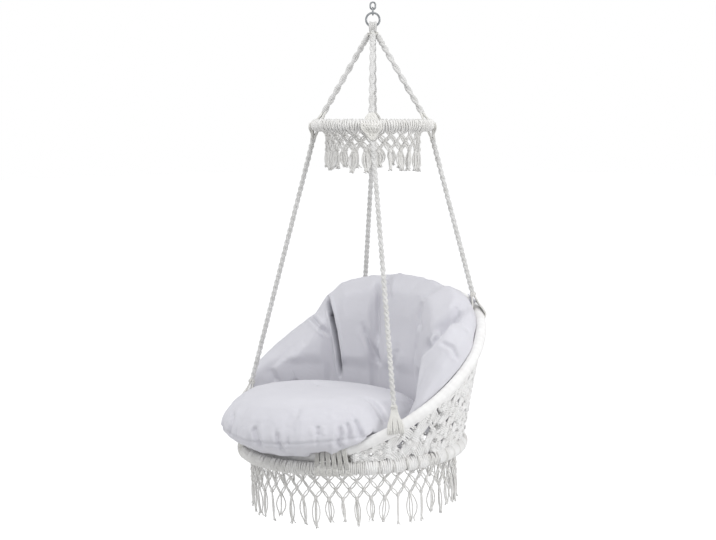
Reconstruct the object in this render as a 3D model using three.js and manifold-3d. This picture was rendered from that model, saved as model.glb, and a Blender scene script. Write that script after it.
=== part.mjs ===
// Hammock chair: a cushioned seat of two steel hoops and knotted cotton cord, hung on four ropes
// from a steel ring and two links. Millimetres, +Z up, the seat opens towards -Y.
// The origin is the point where the hook carries the top link.
import * as THREE from 'three';
import { mergeVertices } from 'three/addons/utils/BufferGeometryUtils.js';
import Module from 'manifold-3d';

const wasm = await Module();
wasm.setup();

// Sizes of the steel links and the ring
const linkWire = 5;
const linkInnerWidth = 10;
const linkInnerHeight = 16;
const ringWire = 6;
const ringInner = 34;

// Clearances between pieces that touch on the real chair
const touchGap = 0.3;
const wrapEndGap = 0.5;
const swingGap = 0.6;
const cushionGap = 2.5;
const netGap = 0.8;

// Sizes of the rope bundle on the ring and the cord wound round it
const crownWidth = 24;
const crownRadius = 14;
const neckRadius = 13;
const neckLength = 27;
const neckTop = 9;
const windingCord = 3.6;
const windingPitch = 4.1;
const windingTurns = 2;
const windingDrop = 16.4;
const stepsPerTurn = 24;

// Sizes of the ropes
const upperRopeWidth = 18.4;
const lowerRopeWidth = 15.2;
const ropeBundleRadius = 17.4;
const ropeStraightStart = 5;

// Sizes of the upper hoop
const upperHoopRadius = 166;
const upperHoopTube = 16;
const upperHoopWrap = 30;
const upperHoopDrop = 357;
const upperHoopStations = 24;
const upperHitchWidth = 52;
const upperHitchReach = 38;

// Sizes of the back hoop, the large tilted one
const backHoopRadius = 385;
const backHoopTube = 20;
const backHoopWrap = 33;
const backHoopCentreY = -50;
const hoopGap = 0.5;
const backHoopTilt = 33.8;
const hoopStations = 48;
const backHitchWidth = 46;
const backHitchReach = 62;
const frontRopeAngle = 57.6;
const backRopeAngle = 140.2;
const frontWrapAngle = 60;
const backWrapAngle = 142.5;

// Sizes of the seat hoop, the smaller one under the cushion
const seatHoopRadius = 320;
const seatHoopTube = 20;
const seatHoopWrap = 35;
const seatHoopCentreY = -82;
const seatHoopDrop = 1298;
const seatHoopTilt = 2.5;
const lashingAngle = 30;
const lashingWidth = 11;
const lashingThickness = 4;
const lashingGap = 1.3;

// Sizes of the nets and the fringes
const netStartAngle = 39;
const netFrontAngle = 84;
const netMiddleAngle = 132;
const netThickness = 5;
const netBandWidth = 6;
const panelGap = 0.4;
const scallop = 0.8;
const seatNetPitch = 130;
const seatNetBand = 16;
const seatNetNotch = 12;
const seatNetDrop = 12;
const skirtRadius = 303;
const skirtInset = 5;
const skirtKnots = [25, 52, 78];
const skirtLength = 162;
const skirtTassels = 48;
const skirtTasselWidth = 17;
const canopyRadius = 137;
const canopyInset = 11;
const canopyKnots = [14, 28, 42];
const canopyLength = 122;
const canopyTassels = 24;
const canopyTasselWidth = 19;
const tasselKnotWidth = 7;

// Sizes of the cushions
const seatCushionRadius = 299;
const seatCushionCentreY = -200;
const seatCushionRimDrop = 1237;
const seatCushionCrown = 117;
const seatCushionBelly = 55;
const seatCushionSideLift = 26;
const seatCushionPucker = 5;
const seatCushionTravel = 90;
const puckers = 10;
const backCushionRise = 100;
const backCushionBottomDrop = 1286;
const backCushionBulge = 60;
const wingSink = 25;
const channelDepth = 30;
const channelDip = 14;
const stationsPerLobe = 5;
const tieWidth = 16;
const tieThickness = 2;
const tieGap = 0.8;
const tieAngle = 150;

// Numbers of faces round each kind of piece
const wireSides = 8;
const linkStations = 16;
const ringStations = 24;
const tubeSides = 6;
const wrapSides = 10;
const ropeSides = 8;
const crownSides = 16;
const cushionSegments = 20;

// Colours of the materials
const steel = { color: 0x9a9c9e, roughness: 0.35, metalness: 0.95 };
const tubeSteel = { color: 0x6f7275, roughness: 0.5, metalness: 0.8 };
const cotton = { color: 0xe4e1da, roughness: 0.9, metalness: 0 };
const cloth = { color: 0xd2d3dc, roughness: 0.85, metalness: 0 };

const turn = 2 * Math.PI;
const quarter = Math.PI / 2;
const radians = (angle) => THREE.MathUtils.degToRad(angle);

// The two directions of the hardware: one link lies across, the next one lies along
const acrossAngle = radians(45);
const alongAngle = radians(-45);
const across = new THREE.Vector3(Math.cos(acrossAngle), Math.sin(acrossAngle), 0);
const along = new THREE.Vector3(Math.cos(alongAngle), Math.sin(alongAngle), 0);

// Heights of the hardware, from the hook's seat down
const linkBend = (linkInnerWidth + linkWire) / 2;
const linkStraight = linkInnerHeight - linkInnerWidth;
const topLinkZ = -linkInnerHeight / 2;
const topLinkBottomZ = -linkInnerHeight - linkWire / 2;
const lowerLinkTopZ = topLinkBottomZ + linkWire + touchGap;
const lowerLinkZ = lowerLinkTopZ - (linkInnerHeight + linkWire) / 2;
const lowerLinkBottomZ = lowerLinkZ - (linkInnerHeight + linkWire) / 2;
const ringRadius = (ringInner + ringWire) / 2;
const ringZ = lowerLinkBottomZ + (linkWire + ringWire) / 2 + touchGap - ringRadius;
const ringBottomZ = ringZ - ringRadius;
const neckBottomZ = ringBottomZ - neckLength;

const chair = new THREE.Group();

function addMesh(parent, name, geometry, look) {
  const mesh = new THREE.Mesh(outward(geometry), new THREE.MeshStandardMaterial(look));
  mesh.name = name;
  parent.add(mesh);
  return mesh;
}

// Every closed shape is given faces that point out
function outward(geometry) {
  const plain = onlyPositions(geometry);
  const position = plain.attributes.position;
  const index = plain.index.array;
  const a = new THREE.Vector3();
  const b = new THREE.Vector3();
  const c = new THREE.Vector3();
  let volume = 0;
  for (let i = 0; i < index.length; i += 3) {
    a.fromBufferAttribute(position, index[i]);
    b.fromBufferAttribute(position, index[i + 1]);
    c.fromBufferAttribute(position, index[i + 2]);
    volume += a.dot(b.cross(c));
  }
  if (volume < 0) {
    for (let i = 0; i < index.length; i += 3) {
      [index[i], index[i + 1]] = [index[i + 1], index[i]];
    }
  }
  return plain;
}

function onlyPositions(geometry) {
  const plain = new THREE.BufferGeometry();
  plain.setAttribute('position', geometry.attributes.position.clone());
  if (geometry.index) plain.setIndex(geometry.index.clone());
  return mergeVertices(plain);
}

function toSolid(geometry) {
  const plain = outward(geometry);
  return new wasm.Manifold(new wasm.Mesh({
    numProp: 3,
    vertProperties: new Float32Array(plain.attributes.position.array),
    triVerts: new Uint32Array(plain.index.array),
  }));
}

function fromSolid(solid) {
  const mesh = solid.getMesh();
  const geometry = new THREE.BufferGeometry();
  geometry.setAttribute('position', new THREE.BufferAttribute(new Float32Array(mesh.vertProperties), 3));
  geometry.setIndex(new THREE.BufferAttribute(new Uint32Array(mesh.triVerts), 1));
  return geometry;
}

// A closed loop of points turned into a solid from rings that are joined one to the next
function skin(rings) {
  const size = rings[0].length;
  const positions = rings.flat().flatMap((point) => [point.x, point.y, point.z]);
  const index = [];
  for (let ring = 0; ring + 1 < rings.length; ring += 1) {
    for (let i = 0; i < size; i += 1) {
      const a = ring * size + i;
      const b = ring * size + ((i + 1) % size);
      index.push(a, b, b + size, a, b + size, a + size);
    }
  }
  const last = (rings.length - 1) * size;
  for (let i = 1; i + 1 < size; i += 1) {
    index.push(0, i + 1, i);
    index.push(last, last + i, last + i + 1);
  }
  const geometry = new THREE.BufferGeometry();
  geometry.setAttribute('position', new THREE.Float32BufferAttribute(positions, 3));
  geometry.setIndex(index);
  return geometry;
}

// Round outlines with a corner on the ring's own radius, so that a tube and its sleeve line up
function roundOutline(radius, sides) {
  const points = [];
  for (let i = 0; i < sides; i += 1) {
    const angle = (turn * i) / sides - quarter;
    points.push(new THREE.Vector2(radius * Math.cos(angle), radius * Math.sin(angle)));
  }
  return points;
}

// An arc of a hoop in its own plane, counted from the front towards +X
class HoopArc extends THREE.Curve {
  constructor(radius, from, to) {
    super();
    this.radius = radius;
    this.from = from;
    this.to = to;
  }

  getPoint(t, target = new THREE.Vector3()) {
    const angle = this.from + (this.to - this.from) * t;
    return target.set(this.radius * Math.sin(angle), -this.radius * Math.cos(angle), 0);
  }
}

function hoopTube(radius, width, stations) {
  return new THREE.TorusGeometry(radius, width / 2, tubeSides, stations);
}

// A sleeve of wound cord round part of a hoop, open at both ends
function hoopSleeve(radius, tubeWidth, wrapWidth, stations, fromDegrees, toDegrees) {
  const inset = wrapEndGap / 2 / radius;
  const arc = new HoopArc(radius, radians(fromDegrees) + inset, radians(toDegrees) - inset);
  const shape = new THREE.Shape(roundOutline(wrapWidth / 2, wrapSides));
  shape.holes.push(new THREE.Path(roundOutline(tubeWidth / 2 + touchGap, tubeSides)));
  const steps = Math.round(((toDegrees - fromDegrees) * stations) / 360);
  return new THREE.ExtrudeGeometry(shape, { steps, extrudePath: arc });
}

// Places on the hoops in the chair's own frame
function hoopFrame(centreY, drop, tilt) {
  return new THREE.Matrix4()
    .makeRotationX(radians(tilt))
    .setPosition(0, centreY, -drop);
}
const seatHoopFrame = hoopFrame(seatHoopCentreY, seatHoopDrop, seatHoopTilt);
const backHoopDrop = restingDrop();
const backHoopFrame = hoopFrame(backHoopCentreY, backHoopDrop, backHoopTilt);
const seatHoopSag = hoopSag(seatHoopRadius, hoopStations);
const backHoopSag = hoopSag(backHoopRadius, hoopStations);
const upperHoopSag = hoopSag(upperHoopRadius, upperHoopStations);

// How far the straight pieces of a faceted hoop lie inside its circle
function hoopSag(radius, stations) {
  return radius * (1 - Math.cos(Math.PI / stations));
}

// The front half of a hoop as points on its straight pieces
function frontPoints(frame, radius) {
  const parts = 4;
  const points = [];
  for (let station = -hoopStations / 4; station < hoopStations / 4; station += 1) {
    const from = onHoop(frame, radius, (turn * station) / hoopStations);
    const to = onHoop(frame, radius, (turn * (station + 1)) / hoopStations);
    for (let part = 0; part < parts; part += 1) points.push(from.clone().lerp(to, part / parts));
  }
  return points;
}

// The back hoop comes down until its sleeve rests on the sleeve of the seat hoop
function restingDrop() {
  const apart = (backHoopWrap + seatHoopWrap) / 2 + hoopGap;
  const seatPoints = frontPoints(seatHoopFrame, seatHoopRadius);
  const climb = backHoopRadius * Math.sin(radians(backHoopTilt));
  let low = seatHoopDrop - climb;
  let high = low - backHoopWrap - seatHoopWrap;
  while (low - high > touchGap / 100) {
    const middle = (low + high) / 2;
    const frame = hoopFrame(backHoopCentreY, middle, backHoopTilt);
    const backPoints = frontPoints(frame, backHoopRadius);
    const clear = backPoints.every((point) => seatPoints.every((other) => point.distanceTo(other) > apart));
    if (clear) high = middle;
    else low = middle;
  }
  return high;
}

function onHoop(frame, radius, angle) {
  const point = new THREE.Vector3(radius * Math.sin(angle), -radius * Math.cos(angle), 0);
  return point.applyMatrix4(frame);
}

function hoopDirection(frame, angle) {
  return new THREE.Vector3(Math.cos(angle), Math.sin(angle), 0).transformDirection(frame);
}

function hoopGroup(centreY, drop, tilt) {
  const group = new THREE.Group();
  group.position.set(0, centreY, -drop);
  group.rotation.x = radians(tilt);
  chair.add(group);
  return group;
}

// A link is a ring of wire that is stretched to an oval and stood on end
function linkGeometry() {
  const geometry = new THREE.TorusGeometry(linkBend, linkWire / 2, wireSides, linkStations);
  geometry.rotateZ(Math.PI / linkStations);
  const position = geometry.attributes.position;
  for (let i = 0; i < position.count; i += 1) {
    const y = position.getY(i);
    position.setY(i, y + (Math.sign(y) * linkStraight) / 2);
  }
  return geometry.rotateX(quarter);
}

function makeHardware() {
  const topLink = addMesh(chair, 'top_link', linkGeometry().rotateZ(acrossAngle), steel);
  topLink.position.z = topLinkZ;
  const lowerLink = addMesh(chair, 'lower_link', linkGeometry().rotateZ(alongAngle), steel);
  lowerLink.position.z = lowerLinkZ;
  const ring = new THREE.TorusGeometry(ringRadius, ringWire / 2, wireSides, ringStations);
  const hangingRing = addMesh(chair, 'hanging_ring', ring.rotateX(quarter).rotateZ(acrossAngle), steel);
  hangingRing.position.z = ringZ;
}

// The bundle of ropes over the ring: its bore leaves the ring free to swing
function makeCrown() {
  const half = crownWidth / 2;
  const flat = Math.cos(Math.PI / crownSides);
  const boreAt = (s) => (swingGap + ringRadius - Math.sqrt((ringInner / 2) ** 2 - s ** 2)) / flat;
  const stationShares = [-1, -0.5, 0, 0.5, 1];
  const outerShares = [0.84, 0.97, 1, 0.97, 0.84];
  const bore = stationShares.map((share) => new THREE.Vector2(boreAt(share * half), share * half));
  const outer = stationShares.map((share, i) => new THREE.Vector2(crownRadius * outerShares[i], share * half));
  const profile = [...bore, ...outer.reverse(), bore[0]];
  const saddle = new THREE.LatheGeometry(profile, crownSides);
  saddle.rotateZ(-quarter).rotateZ(acrossAngle).translate(0, 0, ringBottomZ);
  const neckHeight = neckLength - neckTop;
  const neck = new THREE.CylinderGeometry(neckRadius, neckRadius, neckHeight, crownSides);
  neck.rotateX(quarter).translate(0, 0, neckBottomZ + neckHeight / 2);
  addMesh(chair, 'crown_saddle', fromSolid(toSolid(saddle).add(toSolid(neck))), cotton);
}

// The cord wound round the neck under the ring
class Helix extends THREE.Curve {
  getPoint(t, target = new THREE.Vector3()) {
    const angle = t * windingTurns * turn;
    const radius = neckRadius + windingCord / 2 + touchGap;
    const z = ringBottomZ - windingDrop - t * windingTurns * windingPitch;
    return target.set(radius * Math.cos(angle), radius * Math.sin(angle), z);
  }
}

function makeWinding() {
  const helix = new Helix();
  const steps = Math.round(windingTurns * stepsPerTurn);
  const shape = new THREE.Shape(roundOutline(windingCord / 2, tubeSides));
  addMesh(chair, 'gathering_wrap', new THREE.ExtrudeGeometry(shape, { steps, extrudePath: helix }), cotton);
  const points = helix.getSpacedPoints(steps * 4);
  const apart = Math.round((points.length / windingTurns) * 0.5);
  let least = Infinity;
  points.forEach((point, i) => {
    for (let j = i + apart; j < points.length; j += 1) {
      least = Math.min(least, point.distanceTo(points[j]));
    }
  });
  console.log('gathering_wrap least gap to itself', (least - windingCord).toFixed(2), 'mm');
}

// The four corners of the chair, each with its side of the body and its rope angles
const corners = [
  { name: 'front_right', upper: 45, lower: frontRopeAngle },
  { name: 'front_left', upper: -45, lower: -frontRopeAngle },
  { name: 'back_right', upper: 135, lower: backRopeAngle },
  { name: 'back_left', upper: -135, lower: -backRopeAngle },
];

function ropeGeometry(path, width, steps) {
  const shape = new THREE.Shape(roundOutline(width / 2, ropeSides));
  return new THREE.ExtrudeGeometry(shape, { steps, extrudePath: path });
}

// A rope that spreads over a hoop: a cone from the hoop's middle to the rope
function hitchCone(hoopPoint, direction, reach, baseWidth, ropeWidth) {
  const cone = new THREE.CylinderGeometry(ropeWidth / 2, baseWidth / 2, reach, wrapSides);
  cone.translate(0, reach / 2, 0);
  cone.applyQuaternion(new THREE.Quaternion().setFromUnitVectors(new THREE.Vector3(0, 1, 0), direction));
  return cone.translate(hoopPoint.x, hoopPoint.y, hoopPoint.z);
}

// The hoop with its wrap and a clearance, which every hitch on it is cut by
function hoopCutter(frame, radius, wrapWidth, stations) {
  const cutter = new THREE.TorusGeometry(radius, wrapWidth / 2 + touchGap, wrapSides, stations);
  return toSolid(cutter.applyMatrix4(frame));
}

function makeRopes() {
  const upperFrame = hoopFrame(0, upperHoopDrop, 0);
  const upperCutter = hoopCutter(upperFrame, upperHoopRadius, upperHoopWrap, upperHoopStations);
  const backCutter = hoopCutter(backHoopFrame, backHoopRadius, backHoopWrap, hoopStations);
  corners.forEach(({ name, upper, lower }) => {
    const knot = onHoop(upperFrame, upperHoopRadius, radians(upper));
    const side = new THREE.Vector3(knot.x, knot.y, 0).normalize();
    const start = side.clone().multiplyScalar(ropeBundleRadius).setZ(neckBottomZ - touchGap);
    const bend = start.clone().setZ(start.z - ropeStraightStart);
    const rise = bend.clone().sub(knot).normalize();
    const end = knot.clone().addScaledVector(rise, upperHitchReach + touchGap);
    const path = new THREE.CatmullRomCurve3([
      start, bend, bend.clone().lerp(end, 0.12), bend.clone().lerp(end, 0.5), end,
    ]);
    addMesh(chair, `upper_rope_${name}`, ropeGeometry(path, upperRopeWidth, 8), cotton);

    const foot = onHoop(backHoopFrame, backHoopRadius, radians(lower));
    const fall = foot.clone().sub(knot).normalize();
    const top = knot.clone().addScaledVector(fall, upperHitchReach + touchGap);
    const bottom = foot.clone().addScaledVector(fall, -backHitchReach - touchGap);
    addMesh(chair, `lower_rope_${name}`, ropeGeometry(new THREE.LineCurve3(top, bottom), lowerRopeWidth, 2), cotton);

    const sink = upperHoopWrap / 4;
    const upperCone = hitchCone(knot.clone().addScaledVector(rise, -sink), rise,
      upperHitchReach + sink, upperHitchWidth, upperRopeWidth);
    const lowerCone = hitchCone(knot.clone().addScaledVector(fall, -sink), fall,
      upperHitchReach + sink, upperHitchWidth, lowerRopeWidth);
    const upperHitch = toSolid(upperCone).add(toSolid(lowerCone)).subtract(upperCutter);
    addMesh(chair, `upper_hitch_${name}`, fromSolid(upperHitch), cotton);

    const backCone = hitchCone(foot, fall.clone().negate(), backHitchReach, backHitchWidth, lowerRopeWidth);
    addMesh(chair, `back_hitch_${name}`, fromSolid(toSolid(backCone).subtract(backCutter)), cotton);
  });
}

function makeHoops() {
  const upperGroup = hoopGroup(0, upperHoopDrop, 0);
  addMesh(upperGroup, 'upper_hoop_tube', hoopTube(upperHoopRadius, upperHoopTube, upperHoopStations), tubeSteel);
  [['front', -45, 45], ['right', 45, 135], ['rear', 135, 225], ['left', -135, -45]].forEach(([side, from, to]) => {
    const sleeve = hoopSleeve(upperHoopRadius, upperHoopTube, upperHoopWrap, upperHoopStations, from, to);
    addMesh(upperGroup, `upper_hoop_wrap_${side}`, sleeve, cotton);
  });

  const backGroup = hoopGroup(backHoopCentreY, backHoopDrop, backHoopTilt);
  addMesh(backGroup, 'back_hoop_tube', hoopTube(backHoopRadius, backHoopTube, hoopStations), tubeSteel);
  const backSides = [
    ['front', -frontWrapAngle, frontWrapAngle],
    ['right', frontWrapAngle, backWrapAngle],
    ['rear', backWrapAngle, 360 - backWrapAngle],
    ['left', -backWrapAngle, -frontWrapAngle],
  ];
  backSides.forEach(([side, from, to]) => {
    const sleeve = hoopSleeve(backHoopRadius, backHoopTube, backHoopWrap, hoopStations, from, to);
    addMesh(backGroup, `back_hoop_wrap_${side}`, sleeve, cotton);
  });
  [['right', tieAngle], ['left', -tieAngle]].forEach(([side, angle]) => {
    addMesh(backGroup, `cushion_tie_${side}`, tieGeometry(radians(angle)), cloth);
  });

  const seatGroup = hoopGroup(seatHoopCentreY, seatHoopDrop, seatHoopTilt);
  addMesh(seatGroup, 'seat_hoop_tube', hoopTube(seatHoopRadius, seatHoopTube, hoopStations), tubeSteel);
  [['right', 0, 180], ['left', 180, 360]].forEach(([side, from, to]) => {
    const sleeve = hoopSleeve(seatHoopRadius, seatHoopTube, seatHoopWrap, hoopStations, from, to);
    addMesh(seatGroup, `seat_hoop_wrap_${side}`, sleeve, cotton);
  });
  return { upperGroup, seatGroup };
}

// A tape tied round the hoop, open on the side where the net hangs
function tieGeometry(angle) {
  const netSide = radians(240);
  const opening = radians(50);
  const steps = 12;
  const flat = Math.cos((Math.PI - opening) / steps);
  const inner = (backHoopWrap / 2 + tieGap) / flat;
  const outer = inner + tieThickness;
  const inside = [];
  const outside = [];
  for (let i = 0; i <= steps; i += 1) {
    const at = netSide + opening + ((turn - 2 * opening) * i) / steps;
    inside.push(new THREE.Vector2(-inner * Math.sin(at), -inner * Math.cos(at)));
    outside.push(new THREE.Vector2(-outer * Math.sin(at), -outer * Math.cos(at)));
  }
  const half = tieWidth / 2 / backHoopRadius;
  const arc = new HoopArc(backHoopRadius, angle - half, angle + half);
  const shape = new THREE.Shape([...inside, ...outside.reverse()]);
  return new THREE.ExtrudeGeometry(shape, { steps: 1, extrudePath: arc });
}

// The cord band that ties the two hoops together where they meet
function lashingPlace(angle) {
  const seatPoint = onHoop(seatHoopFrame, seatHoopRadius, angle);
  const backAngle = Math.asin(seatPoint.x / backHoopRadius);
  const backPoint = onHoop(backHoopFrame, backHoopRadius, backAngle);
  const seatWay = hoopDirection(seatHoopFrame, angle);
  const backWay = hoopDirection(backHoopFrame, backAngle);
  const zAxis = seatWay.add(backWay).normalize();
  const ahead = backPoint.clone().sub(seatPoint).dot(zAxis) / backWay.dot(zAxis);
  const toBack = backPoint.addScaledVector(backWay, -ahead).sub(seatPoint).projectOnPlane(zAxis);
  const apart = toBack.length();
  const xAxis = toBack.normalize();
  const yAxis = new THREE.Vector3().crossVectors(zAxis, xAxis);
  return { apart, matrix: new THREE.Matrix4().makeBasis(xAxis, yAxis, zAxis).setPosition(seatPoint) };
}

function lashingLoop(apart, extra) {
  const bends = 8;
  const flat = Math.cos(Math.PI / bends / 2);
  const points = [];
  [[0, seatHoopWrap, 1], [apart, backHoopWrap, -1]].forEach(([centre, width, sign]) => {
    const radius = (width / 2 + extra) / flat;
    for (let i = 0; i <= bends; i += 1) {
      const at = quarter * sign + (Math.PI * i) / bends;
      points.push(new THREE.Vector2(centre + radius * Math.cos(at), radius * Math.sin(at)));
    }
  });
  return points;
}

function lashingGeometry(shape, width, matrix) {
  const geometry = new THREE.ExtrudeGeometry(shape, { depth: width, bevelEnabled: false });
  return geometry.translate(0, 0, -width / 2).applyMatrix4(matrix);
}

function makeLashings() {
  [['right', lashingAngle], ['left', -lashingAngle]].forEach(([side, angle]) => {
    const { apart, matrix } = lashingPlace(radians(angle));
    const shape = new THREE.Shape(lashingLoop(apart, lashingGap + lashingThickness));
    shape.holes.push(new THREE.Path(lashingLoop(apart, lashingGap)));
    addMesh(chair, `front_lashing_${side}`, lashingGeometry(shape, lashingWidth, matrix), cotton);
  });
}

// A flat panel cut to an outline with holes, each corner of which is then moved to its place
function panelGeometry(outline, holes, thickness, place) {
  const shape = new THREE.Shape(outline.map(([u, v]) => new THREE.Vector2(u, v)));
  holes.forEach((hole) => shape.holes.push(new THREE.Path(hole.map(([u, v]) => new THREE.Vector2(u, v)))));
  const geometry = new THREE.ExtrudeGeometry(shape, { depth: thickness, bevelEnabled: false });
  const position = geometry.attributes.position;
  for (let i = 0; i < position.count; i += 1) {
    const point = place(position.getX(i), position.getY(i), position.getZ(i) - thickness / 2);
    position.setXYZ(i, point.x, point.y, point.z);
  }
  return geometry;
}

function diamond(u, v, halfWidth, halfHeight) {
  return [[u, v - halfHeight], [u + halfWidth, v], [u, v + halfHeight], [u - halfWidth, v]];
}

// A fringe panel: a band of knotted diamonds over a row of tassels. Across it counts in tassels.
function fringePanel(sizes, from, count, cornerShare) {
  const { knots, length, tassels, tasselWidth, radius, topRadius, topDrop } = sizes;
  const pitchAngle = turn / tassels;
  const pitch = pitchAngle * radius;
  const half = pitch / 2;
  const slant = (step) => Math.hypot(half, step) * (netBandWidth / 2);
  const spread = (step) => (half - slant(step) / step) / pitch;
  const height = (step) => step - slant(step) / half;
  const [first, second, third] = knots;
  const upperStep = second - first;
  const lowerStep = third - second;
  const upperHalf = [spread(upperStep), height(upperStep)];
  const lowerHalf = [spread(lowerStep), height(lowerStep)];
  const knotHalf = tasselKnotWidth / 2 / pitch;
  const tasselHalf = tasselWidth / 2 / pitch;
  const valley = second + (lowerStep - lowerHalf[1]);
  const side = second - (upperStep - upperHalf[1]);
  const outline = [];
  for (let i = 0; i <= count; i += 1) {
    const u = Math.min(Math.max(i, cornerShare), count - cornerShare);
    outline.push([u, i % 2 ? scallop : 0]);
  }
  outline.push([count - upperHalf[0], first], [count, side], [count, valley]);
  for (let i = count - 1; i >= 0; i -= 1) {
    const middle = i + 0.5;
    outline.push([middle + knotHalf, third], [middle + tasselHalf, length]);
    outline.push([middle - tasselHalf, length], [middle - knotHalf, third], [i, valley]);
  }
  outline.push([0, side], [upperHalf[0], first]);
  const holes = [];
  for (let i = 0; i < count; i += 1) {
    if (i > 0) holes.push(diamond(i, first, ...upperHalf));
    holes.push(diamond(i + 0.5, second, ...lowerHalf));
  }
  const shrink = 1 - panelGap / (count * pitch);
  const place = (u, v, w) => {
    const angle = from + ((u - count / 2) * shrink + count / 2) * pitchAngle;
    const share = Math.min(v / first, 1);
    const r = topRadius + (radius - topRadius) * share + w;
    return new THREE.Vector3(r * Math.sin(angle), -r * Math.cos(angle), -topDrop - v);
  };
  return panelGeometry(outline, holes, netThickness, place);
}

// How far below a hoop's middle a panel starts that hangs this far inside it
function undersideDrop(wrapWidth, inset) {
  const flat = (wrapWidth / 2) * Math.cos(Math.PI / wrapSides);
  const edge = inset - netThickness / 2;
  return Math.sqrt(flat ** 2 - edge ** 2) + touchGap;
}

function makeFringes(upperGroup, seatGroup) {
  const canopy = {
    knots: canopyKnots, length: canopyLength, tassels: canopyTassels, tasselWidth: canopyTasselWidth,
    radius: canopyRadius, topRadius: upperHoopRadius - canopyInset,
    topDrop: undersideDrop(upperHoopWrap, canopyInset) + upperHoopSag,
  };
  [['front', -45], ['right', 45], ['rear', 135], ['left', -135]].forEach(([side, from]) => {
    const panel = fringePanel(canopy, radians(from), canopyTassels / 4, 0.62);
    addMesh(upperGroup, `canopy_fringe_${side}`, panel, cotton);
  });
  const skirt = {
    knots: skirtKnots, length: skirtLength, tassels: skirtTassels, tasselWidth: skirtTasselWidth,
    radius: skirtRadius, topRadius: seatHoopRadius - skirtInset,
    topDrop: undersideDrop(seatHoopWrap, netThickness / 2),
  };
  const names = ['front', 'front_right', 'back_right', 'rear', 'back_left', 'front_left'];
  const span = 360 / names.length;
  names.forEach((side, i) => {
    const panel = fringePanel(skirt, radians((i - 0.5) * span), skirtTassels / names.length, 0.22);
    addMesh(seatGroup, `skirt_fringe_${side}`, panel, cotton);
  });
}

// The knotted net between the back hoop and the seat hoop, in panels of diamonds
function backNetPanel(from, to, columns, rows) {
  const halfWidth = 0.39;
  const halfHeight = 0.38 / rows;
  const edgeDip = 0.012;
  const outline = [];
  for (let i = 0; i <= columns * 2; i += 1) outline.push([i / 2, i % 2 ? edgeDip : 0]);
  for (let row = 1; row < rows; row += 1) {
    const level = row / rows;
    outline.push([columns, level - halfHeight], [columns - halfWidth, level], [columns, level + halfHeight]);
  }
  for (let i = columns * 2; i >= 0; i -= 1) outline.push([i / 2, i % 2 ? 1 - edgeDip : 1]);
  for (let row = rows - 1; row > 0; row -= 1) {
    const level = row / rows;
    outline.push([0, level + halfHeight], [halfWidth, level], [0, level - halfHeight]);
  }
  const holes = [];
  for (let row = 0; row < rows; row += 1) {
    for (let column = 0; column < columns; column += 1) {
      holes.push(diamond(column + 0.5, (row + 0.5) / rows, halfWidth, halfHeight));
      if (row > 0 && column > 0) holes.push(diamond(column, row / rows, halfWidth, halfHeight));
    }
  }
  const inset = panelGap / 2 / backHoopRadius;
  const place = (u, v, w) => {
    const angle = from + inset + ((to - from - 2 * inset) * u) / columns;
    const top = onHoop(backHoopFrame, backHoopRadius, angle);
    const seatAngle = Math.atan2(top.x, seatHoopCentreY - top.y);
    const bottom = onHoop(seatHoopFrame, seatHoopRadius, seatAngle);
    const fall = bottom.clone().sub(top).normalize();
    const topTangent = hoopDirection(backHoopFrame, angle);
    const bottomTangent = hoopDirection(seatHoopFrame, seatAngle);
    const lean = (tangent) => Math.sqrt(1 - fall.dot(tangent) ** 2);
    top.addScaledVector(fall, (backHoopWrap / 2 + touchGap + backHoopSag) / lean(topTangent));
    bottom.addScaledVector(fall, -(seatHoopWrap / 2 + touchGap + seatHoopSag) / lean(bottomTangent));
    const facing = new THREE.Vector3().crossVectors(fall, topTangent).normalize();
    return top.lerp(bottom, v).addScaledVector(facing, w);
  };
  return panelGeometry(outline, holes, netThickness, place);
}

function makeNets(seatGroup) {
  const bands = [
    { name: 'front', from: netStartAngle, to: netFrontAngle, columns: 3, rows: 1 },
    { name: 'middle', from: netFrontAngle, to: netMiddleAngle, columns: 3, rows: 3 },
    { name: 'rear', from: netMiddleAngle, to: 180, columns: 3, rows: 3 },
  ];
  bands.forEach(({ name, from, to, columns, rows }) => {
    addMesh(chair, `back_net_${name}_right`, backNetPanel(radians(from), radians(to), columns, rows), cotton);
    addMesh(chair, `back_net_${name}_left`, backNetPanel(radians(-to), radians(-from), columns, rows), cotton);
  });

  const hoopInside = Math.sqrt((seatHoopWrap / 2) ** 2 - (seatNetDrop - netThickness / 2) ** 2);
  const rim = seatHoopRadius - hoopInside - wrapEndGap;
  const outline = [];
  for (let i = 0; i < hoopStations; i += 1) {
    const angle = (turn * i) / hoopStations;
    const sideways = Math.abs(Math.sin(angle) * seatHoopRadius);
    const atLashing = Math.cos(angle) > 0 && Math.abs(sideways - seatHoopRadius / 2) < lashingWidth;
    const radius = atLashing ? rim - seatNetNotch : rim;
    outline.push([radius * Math.sin(angle), -radius * Math.cos(angle)]);
  }
  const half = (seatNetPitch - seatNetBand) / 2;
  const reach = rim - seatNetBand;
  const count = Math.ceil(seatHoopRadius / seatNetPitch) * 2;
  const holes = [];
  for (let i = -count; i <= count; i += 1) {
    for (let j = -count; j <= count; j += 1) {
      const x = (i * seatNetPitch) / 2;
      const y = (j * seatNetPitch) / 2;
      const staggered = (i + j) % 2 === 0;
      const sideways = Math.hypot(Math.abs(x) + half, y);
      const lengthways = Math.hypot(x, Math.abs(y) + half);
      if (staggered && Math.max(sideways, lengthways) < reach) holes.push(diamond(x, y, half, half));
    }
  }
  const flat = (u, v, w) => new THREE.Vector3(u, v, w - seatNetDrop);
  addMesh(seatGroup, 'seat_net', panelGeometry(outline, holes, netThickness, flat), cotton);
}

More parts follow.
